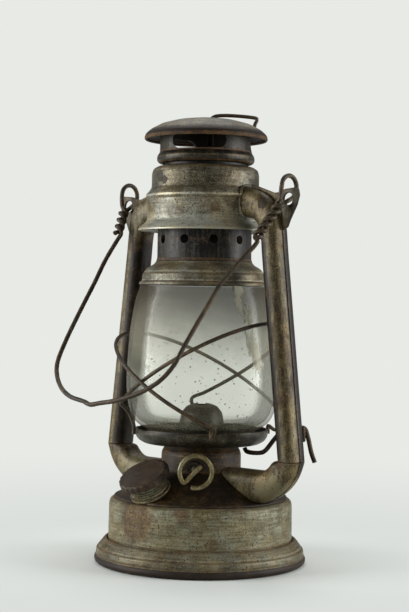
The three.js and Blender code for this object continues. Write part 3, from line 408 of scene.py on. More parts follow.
def tube_tone_and_shade(s, fine):
    """The dark joint on a tube's outer side; painted shade in a creased line, on the inner side and behind
    the joint; painted light on the elbows.
    """
    out = abs(s.across) - TUBE_REACH - (s.height - TUBE_FOOT) * TUBE_LEAN
    waver = (fine - 0.5) * 1.8
    line = s.ease(abs(s.along + waver), 0.95, 0.35) * s.ease(out, 3.5, 5)
    straight = s.ease(s.height, 52, 66) * s.ease(s.height, 184, 176)
    # Painted shade along a creased line near the inner side.
    crease_shade = s.band(-0.4, 0.6, out + waver) * straight * 0.5
    # Painted shade on the inner side, which faces the globe.
    inside = s.ease(out + waver, 0, -1.4) * straight
    # Painted shade on the back of the outer side, past the joint.
    beyond = s.ease(s.along + waver, 0.5, 2) * s.ease(out, 1, 4)
    # The elbows, below the straight tube, are lifted paler as painted light, and the darker sides are painted
    # shade.
    return line.most(crease_shade), 0.1 + s.ease(s.height, 62, 57) * 0.12 - inside * 0.4 - beyond * 0.5


def tin_tube():
    lines = [(61.3, 0.7, 0.9), (176, 6.0, 0.4)]
    spots = [
        ((64, -6, 60), 6, 0.7),
        ((48, -7, 199), 5, 1.1),
        ((40, -6, 204), 7, -0.8),
        # The two pale spots on the right elbow are a painted highlight.
        ((55, -9, 47), 14, -0.9),
        ((66, 0, 47), 9, -0.6),
    ]
    marks = {"lines": lines, "spots": spots, "tone": tube_tone_and_shade}
    return once("tin_tube", "tube", 0.8, upright=True, rusted=0.4, chipped=0.2, matt=0.45, **marks)


def worn_plate():
    return once("worn_plate", "plate", 0.4, chipped=0.3, metal=0.35, matt=0.4)


def rusty_wire():
    return once("rusty_wire", "wire", 0.0, rusted=0.35, chipped=0.25, metal=0.15)


def plated_wire():
    return once("plated_wire", "winder", 0.0, rusted=0.2, metal=0.45, matt=0.38)


def smoked_brass():
    return once("smoked_brass", "brass", 0.2, rusted=0.2, metal=0.35, matt=0.45)


def bright_thread():
    return once("bright_thread", "thread", 0.2, rusted=0.25, metal=0.45, matt=0.36)


def worn_cap():
    return once("worn_cap", "cap", 0.3, rusted=0.1, chipped=0.2, metal=0.1)


def matt_rubber():
    s = Shader("matt_rubber")
    grain = s.noise(1.4, 4, 0.6)
    colour = s.mix(grain, colours().soot, colours().rubber)
    return s.finish(s.surface(colour, 0.8 + grain * 0.15, 0.0, s.relief(grain, 0.1)))


def woven_cotton():
    s = Shader("woven_cotton")
    threads = {"Vector": s.place, "Scale": 0.5, "Distortion": 1.5}
    weave = s.node("ShaderNodeTexWave", {"bands_direction": "Z"}, threads)
    grain = s.noise(1.1, 4, 0.6)
    colour = s.mix(s.ease(s.height, 78, 84), colours().cotton, colours().soot)
    colour = s.mix(0.5, colour, s.mix(weave * 0.5 + grain * 0.5, (0.5, 0.46, 0.4), (1, 1, 1)), "MULTIPLY")
    return s.finish(s.surface(colour, 0.95, 0.0, s.relief(weave + grain * 0.5, 0.25)))


WORN_SIDE = -47


def smoked_glass():
    """Clear glass: smoke near its mouth, a thin film below and a dull foot.

    Its worn side, given in degrees round from across, has specks and a flaked pale strip.
    """
    s = Shader("smoked_glass")
    c = colours()
    broad = s.noise(0.035, 4, 0.55, (4, 9, 2))
    fine = s.noise(0.45, 5, 0.6, (13, 3, 7))
    flakes = s.noise(0.16, 7, 0.72, (2, 27, 15), (1, 1, 0.4))
    turn = math.radians(WORN_SIDE)
    front = s.ease(s.across * math.cos(turn) + s.along * math.sin(turn), 5, 12)
    aside = s.along * math.cos(turn) - s.across * math.sin(turn)
    lift = s.height + (broad - 0.5) * 26
    smoke = s.ease(lift, 100, 156)
    worn = aside + (broad - 0.5) * 10 + (s.height - 120) * 0.26
    strip = s.band(27.5, 5, worn) * s.ease(s.height, 98, 118) * front
    flake = s.ease(flakes + strip * 0.15, 0.6, 0.63) * s.ease(strip, 0.1, 0.3)
    specks = s.ease(s.dots(0.3, (5, 8, 1)), 0.2, 0.12) * s.ease(fine, 0.44, 0.54)
    specks = specks * s.ease(s.height, 146, 112) * front
    foot = s.ease(s.height, 81, 75)
    colour = s.mix(smoke, c.haze, c.smoke)
    colour = s.mix(foot, colour, c.foot_film)
    colour = s.mix(flake, colour, c.haze)
    colour = s.mix(specks, colour, c.rust)
    cover = 0.04 + smoke * 0.36 + foot * 0.3 + flake * 0.6 + specks * 0.6
    film = s.surface(colour, 0.6, 0.0, Specular_IOR_Level=0.2)
    clear = s.node("ShaderNodeBsdfTransparent", {}, {"Color": (0.955, 0.962, 0.945)})
    sheen = s.node("ShaderNodeBsdfGlossy", {}, {"Color": (0.34, 0.34, 0.33), "Roughness": 0.14})
    edge = s.node("ShaderNodeFresnel", {}, {"IOR": 1.25})
    pane = s.node("ShaderNodeMixShader", {}, {0: (edge * 0.8).least(0.5), 1: clear, 2: sheen})
    cover = cover.least(0.9).most(0.01)
    return s.finish(s.node("ShaderNodeMixShader", {}, {0: cover, 1: pane, 2: film}))


# Shaping tools


def clear_selection():
    if bpy.context.object and bpy.context.object.mode != "OBJECT":
        bpy.ops.object.mode_set(mode="OBJECT")
    bpy.ops.object.select_all(action="DESELECT")


def pick(piece):
    """Makes one piece the only one selected."""
    clear_selection()
    piece.select_set(True)
    bpy.context.view_layer.objects.active = piece
    return piece


def eased(outline, reach, steps=3):
    """Rounds the corners of an open outline of (radius, height) points in millimetres."""
    rounded = [outline[0]]
    for before, corner, after in zip(outline, outline[1:], outline[2:]):
        here = Vector(corner)
        back, forth = Vector(before) - here, Vector(after) - here
        start = here + back.normalized() * min(reach, back.length * 0.45)
        end = here + forth.normalized() * min(reach, forth.length * 0.45)
        for i in range(steps + 1):
            t = i / steps
            spot = start * (1 - t) ** 2 + here * (2 * t * (1 - t)) + end * t**2
            rounded.append((max(spot.x, 0), spot.y))
    return rounded + [outline[-1]]


def walled(outline, thickness=None):
    """Closes an outline into a wall that lies to its left, as thick as the sheet if no other is given."""
    thickness = thickness or millimetres(sizes().sheet)
    inner = []
    for i, (radius, height) in enumerate(outline):
        before, after = outline[max(i - 1, 0)], outline[min(i + 1, len(outline) - 1)]
        along = Vector((after[0] - before[0], after[1] - before[1])).normalized()
        inner.append((max(radius - along.y * thickness, 0), height + along.x * thickness))
    return outline + inner[::-1]


def circled(middle_radius, middle_height, radius, start, end, steps=8):
    """Points of an arc of the outline, in degrees."""
    turns = [math.radians(start + (end - start) * i / steps) for i in range(steps + 1)]
    return [(middle_radius + radius * math.cos(t), middle_height + radius * math.sin(t)) for t in turns]


def spun(name, outline, steps=None, angle=30):
    """Extrudes one point along a closed outline and spins it round the upright axis."""
    clear_selection()
    bpy.ops.mesh.primitive_plane_add(size=MM)
    piece = bpy.context.object
    piece.name = name
    bpy.ops.object.mode_set(mode="EDIT")
    bpy.ops.mesh.merge(type="CENTER")
    radius, height = outline[0]
    bpy.ops.transform.translate(value=(radius * MM, 0, height * MM))
    for before, after in zip(outline, outline[1:] + outline[:1]):
        move = ((after[0] - before[0]) * MM, 0, (after[1] - before[1]) * MM)
        bpy.ops.mesh.extrude_vertices_move(TRANSFORM_OT_translate={"value": move})
    bpy.ops.mesh.select_all(action="SELECT")
    bpy.ops.mesh.remove_doubles(threshold=0.00001)
    steps = steps or sizes().turns
    bpy.ops.mesh.spin(steps=steps, angle=2 * math.pi, center=(0, 0, 0), axis=(0, 0, 1), use_auto_merge=True)
    bpy.ops.mesh.select_all(action="SELECT")
    bpy.ops.mesh.remove_doubles(threshold=0.00001)
    bpy.ops.mesh.dissolve_degenerate(threshold=0.000001)
    bpy.ops.mesh.select_all(action="SELECT")
    bpy.ops.mesh.normals_make_consistent(inside=False)
    bpy.ops.object.mode_set(mode="OBJECT")
    bpy.ops.object.shade_smooth_by_angle(angle=math.radians(angle))
    return piece


def squarer(share):
    """Pushes a sine or cosine outwards, so that an oval made with it comes out squarer."""
    return math.copysign(abs(share) ** (2 / 2.7), share)


def skinned(name, rings):
    """Wraps a grid round a row of rings, merges its seam and closes its ends."""
    clear_selection()
    around, along = len(rings[0]), len(rings)
    bpy.ops.mesh.primitive_grid_add(x_subdivisions=around, y_subdivisions=along - 1, size=MM)
    piece = bpy.context.object
    piece.name = name
    for row, ring in enumerate(rings):
        for column in range(around + 1):
            piece.data.vertices[row * (around + 1) + column].co = Vector(ring[column % around]) * MM
    bpy.ops.object.mode_set(mode="EDIT")
    bpy.ops.mesh.select_all(action="SELECT")
    bpy.ops.mesh.remove_doubles(threshold=0.000005)
    bpy.ops.mesh.select_all(action="DESELECT")
    bpy.ops.mesh.select_non_manifold(
        extend=False, use_wire=False, use_multi_face=False, use_non_contiguous=False
    )
    bpy.ops.mesh.edge_face_add()
    bpy.ops.mesh.select_all(action="SELECT")
    bpy.ops.mesh.normals_make_consistent(inside=False)
    bpy.ops.object.mode_set(mode="OBJECT")
    bpy.ops.object.shade_smooth_by_angle(angle=math.radians(30))
    return piece


def block(name, place, lengths):
    """A block at a place, with its lengths along the three axes, all in millimetres."""
    clear_selection()
    place, lengths = [[value * MM for value in row] for row in (place, lengths)]
    bpy.ops.mesh.primitive_cube_add(size=1, location=place, scale=lengths)
    bpy.ops.object.transform_apply()
    piece = bpy.context.object
    piece.name = name
    return piece


def bevelled(piece, width, segments):
    """Bevels every edge of a piece by a width in millimetres."""
    pick(piece)
    bpy.ops.object.mode_set(mode="EDIT")
    bpy.ops.mesh.select_all(action="SELECT")
    bpy.ops.mesh.bevel(offset=width * MM, segments=segments, affect="EDGES")
    bpy.ops.object.mode_set(mode="OBJECT")


def smoothed(points, step):
    """A smooth path through points in millimetres, sampled evenly."""
    spots = [Vector(p) for p in points]
    spots = [spots[0] * 2 - spots[1], *spots, spots[-1] * 2 - spots[-2]]
    path = []
    for a, b, c, d in zip(spots, spots[1:], spots[2:], spots[3:]):
        t1 = max((b - a).length, 1e-6) ** 0.5
        t2 = t1 + max((c - b).length, 1e-6) ** 0.5
        t3 = t2 + max((d - c).length, 1e-6) ** 0.5
        count = max(int((c - b).length / step + 0.5), 1)
        for i in range(count):
            t = t1 + (t2 - t1) * i / count
            p = a * ((t1 - t) / t1) + b * (t / t1)
            q = b * ((t2 - t) / (t2 - t1)) + c * ((t - t1) / (t2 - t1))
            r = c * ((t3 - t) / (t3 - t2)) + d * ((t - t2) / (t3 - t2))
            u = p * ((t2 - t) / t2) + q * (t / t2)
            v = q * ((t3 - t) / (t3 - t1)) + r * ((t - t1) / (t3 - t1))
            path.append(u * ((t2 - t) / (t2 - t1)) + v * ((t - t1) / (t2 - t1)))
    return path + [spots[-2]]


def bent_wire(name, points, radius, uneven=0.03, smooth=True, step=1.2):
    """A round wire along a path in millimetres. Its thickness wavers a little, as old wire does."""
    clear_selection()
    path = smoothed(points, step) if smooth else [Vector(p) for p in points]
    bpy.ops.curve.primitive_nurbs_path_add()
    wire = bpy.context.object
    wire.name = name
    wire.data.splines.clear()
    spline = wire.data.splines.new("POLY")
    spline.points.add(len(path) - 1)
    for i, (point, spot) in enumerate(zip(spline.points, path)):
        point.co = (*(spot * MM), 1)
        point.radius = 1 - uneven * (0.5 + 0.3 * math.sin(i * 0.9) + 0.2 * math.sin(i * 2.3 + 1))
    wire.data.dimensions = "3D"
    wire.data.bevel_depth = radius
    wire.data.bevel_resolution = 3
    wire.data.use_fill_caps = True
    bpy.ops.object.convert(target="MESH")
    piece = bpy.context.object
    bpy.ops.object.mode_set(mode="EDIT")
    bpy.ops.mesh.select_all(action="SELECT")
    bpy.ops.mesh.remove_doubles(threshold=0.000005)
    bpy.ops.mesh.normals_make_consistent(inside=False)
    bpy.ops.object.mode_set(mode="OBJECT")
    bpy.ops.object.shade_smooth_by_angle(angle=math.radians(60))
    return piece


UPRIGHT = Matrix.Identity(3)


def peg(radius, depth, place, turn, steps=32):
    """A round cutter in millimetres. Its axis lies along turn times +Z."""
    clear_selection()
    bpy.ops.mesh.primitive_cylinder_add(vertices=steps, radius=radius * MM, depth=depth * MM)
    cutter = bpy.context.object
    cutter.data.transform(Matrix.Translation(Vector(place) * MM) @ turn.to_4x4())
    return cutter


def pierced(piece, cutters):
    """Cuts holes in a piece. The cutters are joined first and removed at the end."""
    pick(cutters[0])
    for other in cutters[1:]:
        other.select_set(True)
    if len(cutters) > 1:
        bpy.ops.object.join()
    cutter = bpy.context.object
    pick(piece)
    holes = piece.modifiers.new("Holes", "BOOLEAN")
    holes.operation = "DIFFERENCE"
    holes.solver = "EXACT"
    holes.object = cutter
    bpy.ops.object.modifier_apply(modifier=holes.name)
    bpy.data.objects.remove(cutter)
    bpy.ops.object.shade_smooth_by_angle(angle=math.radians(30))
    return piece


def dressed(piece, material, body, slot, *nodes):
    """Gives a piece its finish and its body, and hides the CAD parts that it replaces. The slot is not used.
    """
    piece.data.materials.clear()
    piece.data.materials.append(material)
    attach(piece, body)
    if nodes:
        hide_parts(*nodes)
    return piece


def second_finish(piece, material, lies_there):
    """Gives another finish to the faces at some distances from the axis and heights, in millimetres."""
    piece.data.materials.append(material)
    for face in piece.data.polygons:
        out = Vector((face.center.x, face.center.y)).length
        if lies_there(out / MM, face.center.z / MM):
            face.material_index = 1


def turned(degrees):
    return Matrix.Rotation(math.radians(degrees), 3, "Z")


def placed(piece, matrix):
    """Moves a piece's mesh by a matrix in millimetres, and leaves its object at the origin."""
    scaled = matrix.copy()
    scaled.translation = matrix.translation * MM
    piece.data.transform(scaled)
    if scaled.determinant() < 0:
        piece.data.flip_normals()
    return piece


# Base, tank and cone


def make_base():
    outline = [
        (0, 0), (50.5, 0), (52.4, 1), *circled(56.6, 2.6, 2.6, -120, 62), (58.2, 5.6), (57.9, 8.2),
        (56.9, 9.2), (55.4, 11.2), (54.2, 12.8), (53, 13.8), (51.9, 13.5), (51.9, 1.2), (0, 1.2),
    ]
    pan = spun("base_pan_pressed", eased(outline, 0.7))
    dressed(pan, tin_base(), "frame", "galvanised", "base_pan")
    second_finish(pan, dark_foot(), lambda out, up: up < 4.3 and out > 52.5)


def make_tank():
    outline = [(51.5, 1.6), (51.4, 20), (51.2, 33.2), (50.5, 35.2), (48.7, 36.15), (46, 36.2), (10.6, 36.2)]
    tank = spun("tank_pressed", walled(eased(outline, 1.2), thickness=0.9))
    filler = filler_place()
    pierced(tank, [peg(FILLER_BORE, 14, filler.translation, filler.to_3x3())])
    dressed(tank, tin_tank(), "frame", "galvanised", "tank_shell")


CONE_EDGE = (46, 37.7)
CONE_SLOPE = math.atan2(12.7, 21.6)
FILLER_REACH = 39.5
FILLER_BORE = 9.9
WINDER_TURN = -44
WINDER_ASIDE = -5
WINDER_HEIGHT = 55


def filler_place():
    """The filler neck's frame in millimetres: its origin is just off the cone, square to the slope."""
    height = CONE_EDGE[1] + (CONE_EDGE[0] - FILLER_REACH) * math.tan(CONE_SLOPE) + 0.6
    lean = Matrix.Rotation(math.radians(-90), 4, "Z") @ Matrix.Rotation(CONE_SLOPE, 4, "Y")
    lean.translation = (0, -FILLER_REACH, height)
    return lean


def winder_place():
    """The winder's frame in millimetres: +X runs along its shaft."""
    place = Matrix.Rotation(math.radians(WINDER_TURN), 4, "Z")
    place.translation = place @ Vector((0, WINDER_ASIDE, WINDER_HEIGHT))
    return place


def make_cone():
    outline = [
        (48.4, 36.5), (48.4, 37), (47.9, 37.5), (46, 37.8), (40, 41.4), (31, 46.8), (24.8, 50.4),
        (23, 51.4), (22.3, 52.8), (22.3, 60.6), (21.9, 62.4), (20.9, 64), (20.2, 66),
    ]
    cone = spun("air_cone_spun", walled(eased(outline, 1.0)))
    filler, winder = filler_place(), winder_place()
    for radius, depth, out in ((FILLER_BORE, 14, 0), (11.7, 6, 2.7)):
        pierced(cone, [peg(radius, depth, filler @ Vector((0, 0, out)), filler.to_3x3())])
    along = winder.to_3x3() @ Matrix.Rotation(math.radians(90), 3, "Y")
    pierced(cone, [peg(3.5, 12, winder @ Vector((21.7, 0, 0)), along)])
    dressed(cone, rusty_cone(), "frame", "rusty_steel", "air_cone")


# Air tubes: lengths in millimetres, out from the lamp's axis, up from the table or along the tube's width

TUBE_REACH = 65.4
TUBE_HALF_WIDTH = 7.3
TUBE_HALF_DEPTH = 6
TUBE_WALL = 0.9
TUBE_FOOT = 61.5
TUBE_LEAN = (50.6 - TUBE_REACH) / (184 - TUBE_FOOT)
HORN_START = 172
HORN_REACH = 24.1
HORN_FOOT = 192
HORN_TOP = 209.8
HORN_HALF_WIDTH = 6.75
ELBOW_REACH = 20.2
ELBOW_FOOT = 35
ELBOW_TOP = 55
ELBOW_HALF_WIDTH = 8.6


def tube_section(inner, outer, half_width, groove=0.45):
    """A squared oval between an inner and an outer edge, with its pressed joint at the outer side."""
    inner, outer = Vector(inner), Vector(outer)
    middle, half = (inner + outer) / 2, (outer - inner) / 2
    ring = []
    for angle in sorted([360 * i / 44 for i in range(44)] + [1.2, 2.6, 357.4, 358.8]):
        c, s = math.cos(math.radians(angle)), math.sin(math.radians(angle))
        across = squarer(c)
        if groove and abs(s) < math.sin(math.radians(2)) and c > 0:
            across -= groove / half.length
        spot = middle + half * across
        ring.append((spot.x, half_width * squarer(s), spot.y))
    return ring


def spread(edges, count):
    """Samples rows of numbers smoothly, evenly in their order."""
    rows = [list(inner) + list(outer) + [wide] for inner, outer, wide in edges]
    result = []
    for i in range(count + 1):
        t = i / count * (len(rows) - 1)
        k = min(int(t), len(rows) - 2)
        t -= k
        a, b, c, d = rows[max(k - 1, 0)], rows[k], rows[k + 1], rows[min(k + 2, len(rows) - 1)]
        row = [
            0.5 * (2 * q + (r - p) * t + (2 * p - 5 * q + 4 * r - s) * t**2 + (3 * q - p - 3 * r + s) * t**3)
            for p, q, r, s in zip(a, b, c, d)
        ]
        result.append((row[:2], row[2:4], row[4]))
    return result


def straight_edge(height):
    """A straight tube's inner edge, outer edge and half width at a height."""
    reach = TUBE_REACH + TUBE_LEAN * (height - TUBE_FOOT)
    return ((reach - TUBE_HALF_DEPTH, height), (reach + TUBE_HALF_DEPTH, height), TUBE_HALF_WIDTH)


def horn_edges():
    """Rows of edges from the straight tube into the crown, by shares of the way in and up."""
    start = straight_edge(HORN_START)
    (inner, bottom), (outer, _), _ = start
    shares = [
        (0.039, 0.4, 0.04, 0.344), (0.093, 0.65, 0.072, 0.556), (0.203, 0.83, 0.143, 0.714),
        (0.367, 0.95, 0.281, 0.825), (0.572, 1, 0.458, 0.9), (0.79, 1, 0.65, 0.95), (1, 1, 1, 1),
    ]
    edges = [start]
    for a, b, c, d in shares:
        low = (inner - (inner - HORN_REACH) * a, bottom + (HORN_FOOT - bottom) * b)
        high = (outer - (outer - HORN_REACH) * c, bottom + (HORN_TOP - bottom) * d)
        edges.append((low, high, TUBE_HALF_WIDTH + (HORN_HALF_WIDTH - TUBE_HALF_WIDTH) * c))
    return edges


def elbow_edges():
    """Rows of edges from the cone out and up to the straight tube, by shares of the way in and down."""
    end = straight_edge(TUBE_FOOT - 0.3)
    (inner, top), (outer, _), _ = end
    shares = [
        (1, 1, 1, 1), (0.8, 1, 0.85, 1), (0.648, 1, 0.69, 0.98), (0.444, 1, 0.496, 0.924),
        (0.33, 0.98, 0.34, 0.81), (0.24, 0.84, 0.213, 0.65), (0.163, 0.52, 0.115, 0.466),
        (0.087, 0.03, 0.047, 0.256),
    ]
    edges = []
    for a, b, c, d in shares:
        low = (inner - (inner - ELBOW_REACH) * a, top - (top - ELBOW_TOP) * b)
        high = (outer - (outer - ELBOW_REACH) * c, top - (top - ELBOW_FOOT) * d)
        edges.append((low, high, TUBE_HALF_WIDTH + (ELBOW_HALF_WIDTH - TUBE_HALF_WIDTH) * d))
    return edges + [end]


def crown_clearance():
    """A turned cutter that keeps a tube clear of the crown."""
    outline = [
        (0, 176), (29.4, 176), (29.4, 184.7), (37.7, 184.7), (37.7, 186.4), (33.2, 190.6), (32.8, 191.4),
        (32.8, 202.6), (33.6, 203.4), (33.6, 205.8), (30.4, 209.6), (30.4, 226), (0, 226),
    ]
    return spun("crown_clearance", outline)


def cone_clearance():
    """A turned cutter that keeps an elbow clear of the tank and the cone."""
    outline = [
        (0, 20), (51.8, 20), (51.7, 34), (50.6, 35.8), (48.7, 36.5), (48.7, 37.6), (46.2, 38.2),
        (24.8, 50.9), (22.7, 52.6), (22.6, 72), (0, 72),
    ]
    return spun("cone_clearance", outline)


def tube_bore():
    """A cutter that hollows the foot of a tube."""
    rings = []
    for height in (55, 70):
        (inner, _), (outer, _), wide = straight_edge(height)
        edges = (inner + TUBE_WALL, height), (outer - TUBE_WALL, height)
        rings.append(tube_section(*edges, wide - TUBE_WALL, groove=0))
    return skinned("bore", rings)


def make_tube(side, sign):
    foot = TUBE_FOOT + 0.1
    rows = [straight_edge(foot + (HORN_START - foot) * i / 12) for i in range(12)]
    rows += spread(horn_edges(), 40)
    tube = skinned("air_tube_pressed_" + side, [tube_section(*row) for row in rows])
    pierced(tube, [crown_clearance()])
    pierced(tube, [tube_bore()])
    placed(tube, Matrix.Scale(sign, 4, (1, 0, 0)))
    dressed(tube, tin_tube(), "frame", "galvanised", "air_tube_" + side)


def make_elbow(side, sign):
    rows = spread(elbow_edges(), 44)
    elbow = skinned("tube_elbow_pressed_" + side, [tube_section(*row) for row in rows])
    pierced(elbow, [cone_clearance()])
    placed(elbow, Matrix.Scale(sign, 4, (1, 0, 0)))
    dressed(elbow, tin_tube(), "frame", "galvanised", "tube_elbow_" + side)


def solder_reach(height):
    """Radius on which the solder lies at a height."""
    knots = [(180, 38.2), (187, 36.6), (191, 33.1), (203, 33.1), (205.6, 33.9), (209, 31.1), (230, 31)]
    for (low, first), (high, second) in zip(knots, knots[1:]):
        if height <= high:
            return first + (second - first) * (height - low) / (high - low)
    return knots[-1][1]


def make_solder(side, sign):
    """A bead of solder round the place where a tube lands on the crown."""
    points = []
    for i in range(49):
        angle = 2 * math.pi * i / 48
        across = squarer(math.cos(angle)) * 7.2
        up = 200.5 + squarer(math.sin(angle)) * 8.9
        points.append((sign * math.sqrt(solder_reach(up) ** 2 - across**2), across, up))
    bead = bent_wire("solder_" + side, points, sizes().solder_bead, 0.3, smooth=False)
    dressed(bead, tin_crown(), "frame", "galvanised")


# Crown, chimney and hood

NECK_HOLES = 10
VENTS = 3
LOOP_TURN = 43
LOOP_FEET = (2.5, 27.2)


def make_crown():
    outline = [
        (37.4, 185), (37.4, 185.8), (35.8, 187.4), (33.4, 189.6), (32.5, 191.2), (32.5, 202.6),
        (33.3, 203.4), (33.3, 205.2), (32, 206.4), (30.3, 208.8), (30.1, 210.4), (30.1, 216.8),
        (29.3, 219.4), (27.2, 220.8), (23.8, 221.4),
    ]
    crown = spun("crown_pressed", walled(eased(outline, 0.8)))
    pierced(crown, [block("port", (sign * 31.9, 0, 198.4), (11, 9, 8.8)) for _, sign in SIDES])
    dressed(crown, tin_crown(), "frame", "galvanised", "crown")
    floor = spun("crown_floor_plate", [(27.1, 192), (31.3, 192), (31.3, 192.8), (27.1, 192.8)])
    dressed(floor, tin_crown(), "frame", "galvanised", "crown_floor")


def make_neck():
    outline = [
        (36.4, 154.8), (36.4, 156), (35.8, 156.6), (34.7, 157.1), (34.6, 160.2), (34, 161.4),
        (31.6, 164.4), (28.2, 166.3), (26.9, 168), (26.4, 170), (26.4, 188.4), (25.6, 189.8),
        (23.2, 191.2), (23, 192), (23, 226),
    ]
    neck = spun("chimney_neck_spun", walled(eased(outline, 0.9)))
    cutters = []
    for i in range(NECK_HOLES):
        turn = turned(i * 360 / NECK_HOLES)
        outwards = turn @ Matrix.Rotation(math.radians(90), 3, "Y")
        cutters.append(peg(2.5, 8, turn @ Vector((26, 0, 180)), outwards))
    pierced(neck, cutters)
    dressed(neck, tin_neck(), "chimney_unit", "galvanised", "chimney_neck")
    second_finish(neck, tin_skirt(), lambda out, up: up < 168)


def vent_cutter(degrees):
    """A cutter for a vent 30 mm wide and 9 mm high, with round ends."""
    clear_selection()
    bpy.ops.mesh.primitive_cylinder_add(vertices=32, radius=4.5 * MM, depth=24 * MM)
    cutter = bpy.context.object
    for vertex in cutter.data.vertices:
        if abs(vertex.co.x) > 1e-6:
            vertex.co.x += math.copysign(10.5 * MM, vertex.co.x)
    stand = Matrix(((0, 0, 1), (1, 0, 0), (0, 1, 0)))
    cutter.data.transform((turned(degrees) @ stand).to_4x4())
    place = turned(degrees) @ Vector((22, 0, 0)) + Vector((0, 0, 234.2))
    cutter.data.transform(Matrix.Translation(place * MM))
    return cutter


def make_top():
    outline = [
        (24.1, 222.6), (26, 222.9), (27.2, 223.9), (27.4, 225.2), (27.3, 226.8), (26.5, 228.1),
        (25.9, 229), (25.8, 230), (25.8, 242.5), (25.8, 243.3),
    ]
    top = spun("chimney_top_pressed", walled(eased(outline, 0.7)))
    pierced(top, [vent_cutter(-57 + i * 360 / VENTS) for i in range(VENTS)])
    dressed(top, tin_vents(), "chimney_unit", "galvanised", "chimney_top")
    second_finish(top, dull_soot(), lambda out, up: out < 25.3 and up > 224)


def make_hood():
    outline = [
        (34.1, 236.0), (34.6, 236.6), (34.6, 237.4), (34, 239.2), (31.2, 241.7), (25.5, 244.8),
        (17.4, 247), (9, 248.2), (0, 248.6),
    ]
    hood = spun("hood_pressed", walled(eased(outline, 1.2, 4), thickness=1.0))
    turn = turned(LOOP_TURN)
    pierced(hood, [peg(1.75, 20, turn @ Vector((foot, 0, 243)), UPRIGHT, 20) for foot in LOOP_FEET])
    dressed(hood, tin_hood(), "chimney_unit", "galvanised", "hood")
    second_finish(hood, dull_soot(), lambda out, up: out < 33.6 and up < 247.8 - (out / 34) ** 3 * 11)
    near, far = LOOP_FEET
    rows = [
        (near, 243.6), (near, 247.7), (4.7, 249.8), (25, 249.6), (28.3, 248.8), (28.3, 247.7),
        (far, 245.5), (far, 241.4),
    ]
    points = [turn @ Vector((out, 0, up)) for out, up in rows]
    loop = bent_wire("hood_loop_bent", points, sizes().loop_wire)
    dressed(loop, rusty_wire(), "chimney_unit", "dark_wire", "hood_loop")


# Globe, its plate and its guards

PLATE_HOLES = 14
GUARD_SWEEP = 265


def make_globe():
    outline = [
        (29.6, 67.6), (29.6, 72.6), (31, 74.4), (35, 76.6), (38.6, 80.2), (41.1, 86.5), (42.3, 95),
        (42.6, 104), (42.2, 113), (41, 129), (39.6, 139), (37.9, 147.6), (36.4, 152), (35.8, 154.4),
    ]
    path = [(p.x, p.z) for p in smoothed([(out, 0, up) for out, up in outline], 1.6)]
    globe = spun("globe_blown", walled(path, millimetres(sizes().globe_wall)), angle=70)
    dressed(globe, smoked_glass(), "globe_unit", "globe_glass", "globe")


def make_plate():
    """The pierced plate, with a rim that hangs a little unevenly."""
    outline = [
        (15.6, 66.3), (30.4, 66.3), (32.5, 66.7), (35.4, 68.4), (36.7, 70.4), (37.2, 72), (37.2, 74.2),
        (36.9, 74.9),
    ]
    plate = spun("globe_plate_pressed", walled(eased(outline, 0.8), thickness=0.9))
    places = [turned(i * 360 / PLATE_HOLES) @ Vector((22, 0, 66.5)) for i in range(PLATE_HOLES)]
    pierced(plate, [peg(2.2, 6, place, UPRIGHT, 20) for place in places])
    for vertex in plate.data.vertices:
        out = Vector((vertex.co.x, vertex.co.y)).length / MM
        angle = math.atan2(vertex.co.y, vertex.co.x)
        dent = 0.3 * math.sin(angle * 5 + 1) + 0.25 * math.sin(angle * 11) + 0.15 * math.sin(angle * 19 + 2)
        vertex.co.z -= abs(dent) * MM * max(out - 35.4, 0) / 1.8
    dressed(plate, worn_plate(), "globe_unit", "rusty_steel", "globe_plate")


def make_guards():
    """Two leaning hoops that cross, each with both ends bent down to the plate's rim."""
    half = GUARD_SWEEP / 2
    for name, reach, turn, middle, lean in (("outer", 48.8, -172, 98, 29), ("inner", 45.9, 8, 107, 27.5)):
        hoop = []
        for i in range(33):
            sweep = math.radians(GUARD_SWEEP * (i / 32 - 0.5))
            out, aside = math.cos(sweep), math.sin(sweep)
            hoop.append(Vector((reach * out, reach * aside, middle + lean * out)))
        ends = []
        for point, angle in ((hoop[0], -half), (hoop[-1], half)):
            rows = [((reach + 37.2) / 2, point.z - 5), (38.6, 76), (38.6, 73), (38.5, 71.4)]
            ends.append([turned(angle) @ Vector((out, 0, up)) for out, up in rows])
        path = ends[0][::-1] + hoop + ends[1]
        points = [turned(turn) @ point for point in path]
        wire = bent_wire("guard_wire_bent_" + name, points, sizes().guard_wire)
        dressed(wire, rusty_wire(), "globe_unit", "dark_wire", "guard_wire_" + name)


# Lift lever

PIN_REACH = 63.7
PIN_HEIGHT = 75.6
LEVER_ALONG = 11
HOOK_REACH = 22.7
HOOK_HEIGHT = 64.7


def make_lever():
    """A wire from its hook under the globe, over the pin in a bend, to its handle outside."""
    bend = 3.2
    run, rise = PIN_REACH - HOOK_REACH, PIN_HEIGHT + bend - HOOK_HEIGHT
    shares = [(0, 0), (0.03, -0.12), (0.28, -0.13), (0.36, -0.04), (0.54, 0.5), (0.68, 0.86), (0.82, 1)]
    points = [(HOOK_REACH + run * out, HOOK_HEIGHT + rise * up) for out, up in shares]
    points += circled(PIN_REACH, PIN_HEIGHT, bend, 110, 10, 5)
    points += [
        (PIN_REACH + bend + 1.3, PIN_HEIGHT - bend),
        (PIN_REACH + bend * 2, PIN_HEIGHT - bend * 3),
        (PIN_REACH + bend * 2.76, PIN_HEIGHT - bend * 4.6),
    ]
    wire = sizes().lever_wire
    lever = bent_wire("lift_lever_bent", [(out, LEVER_ALONG, up) for out, up in points], wire)
    dressed(lever, rusty_wire(), "lever", "dark_wire", "lift_lever")


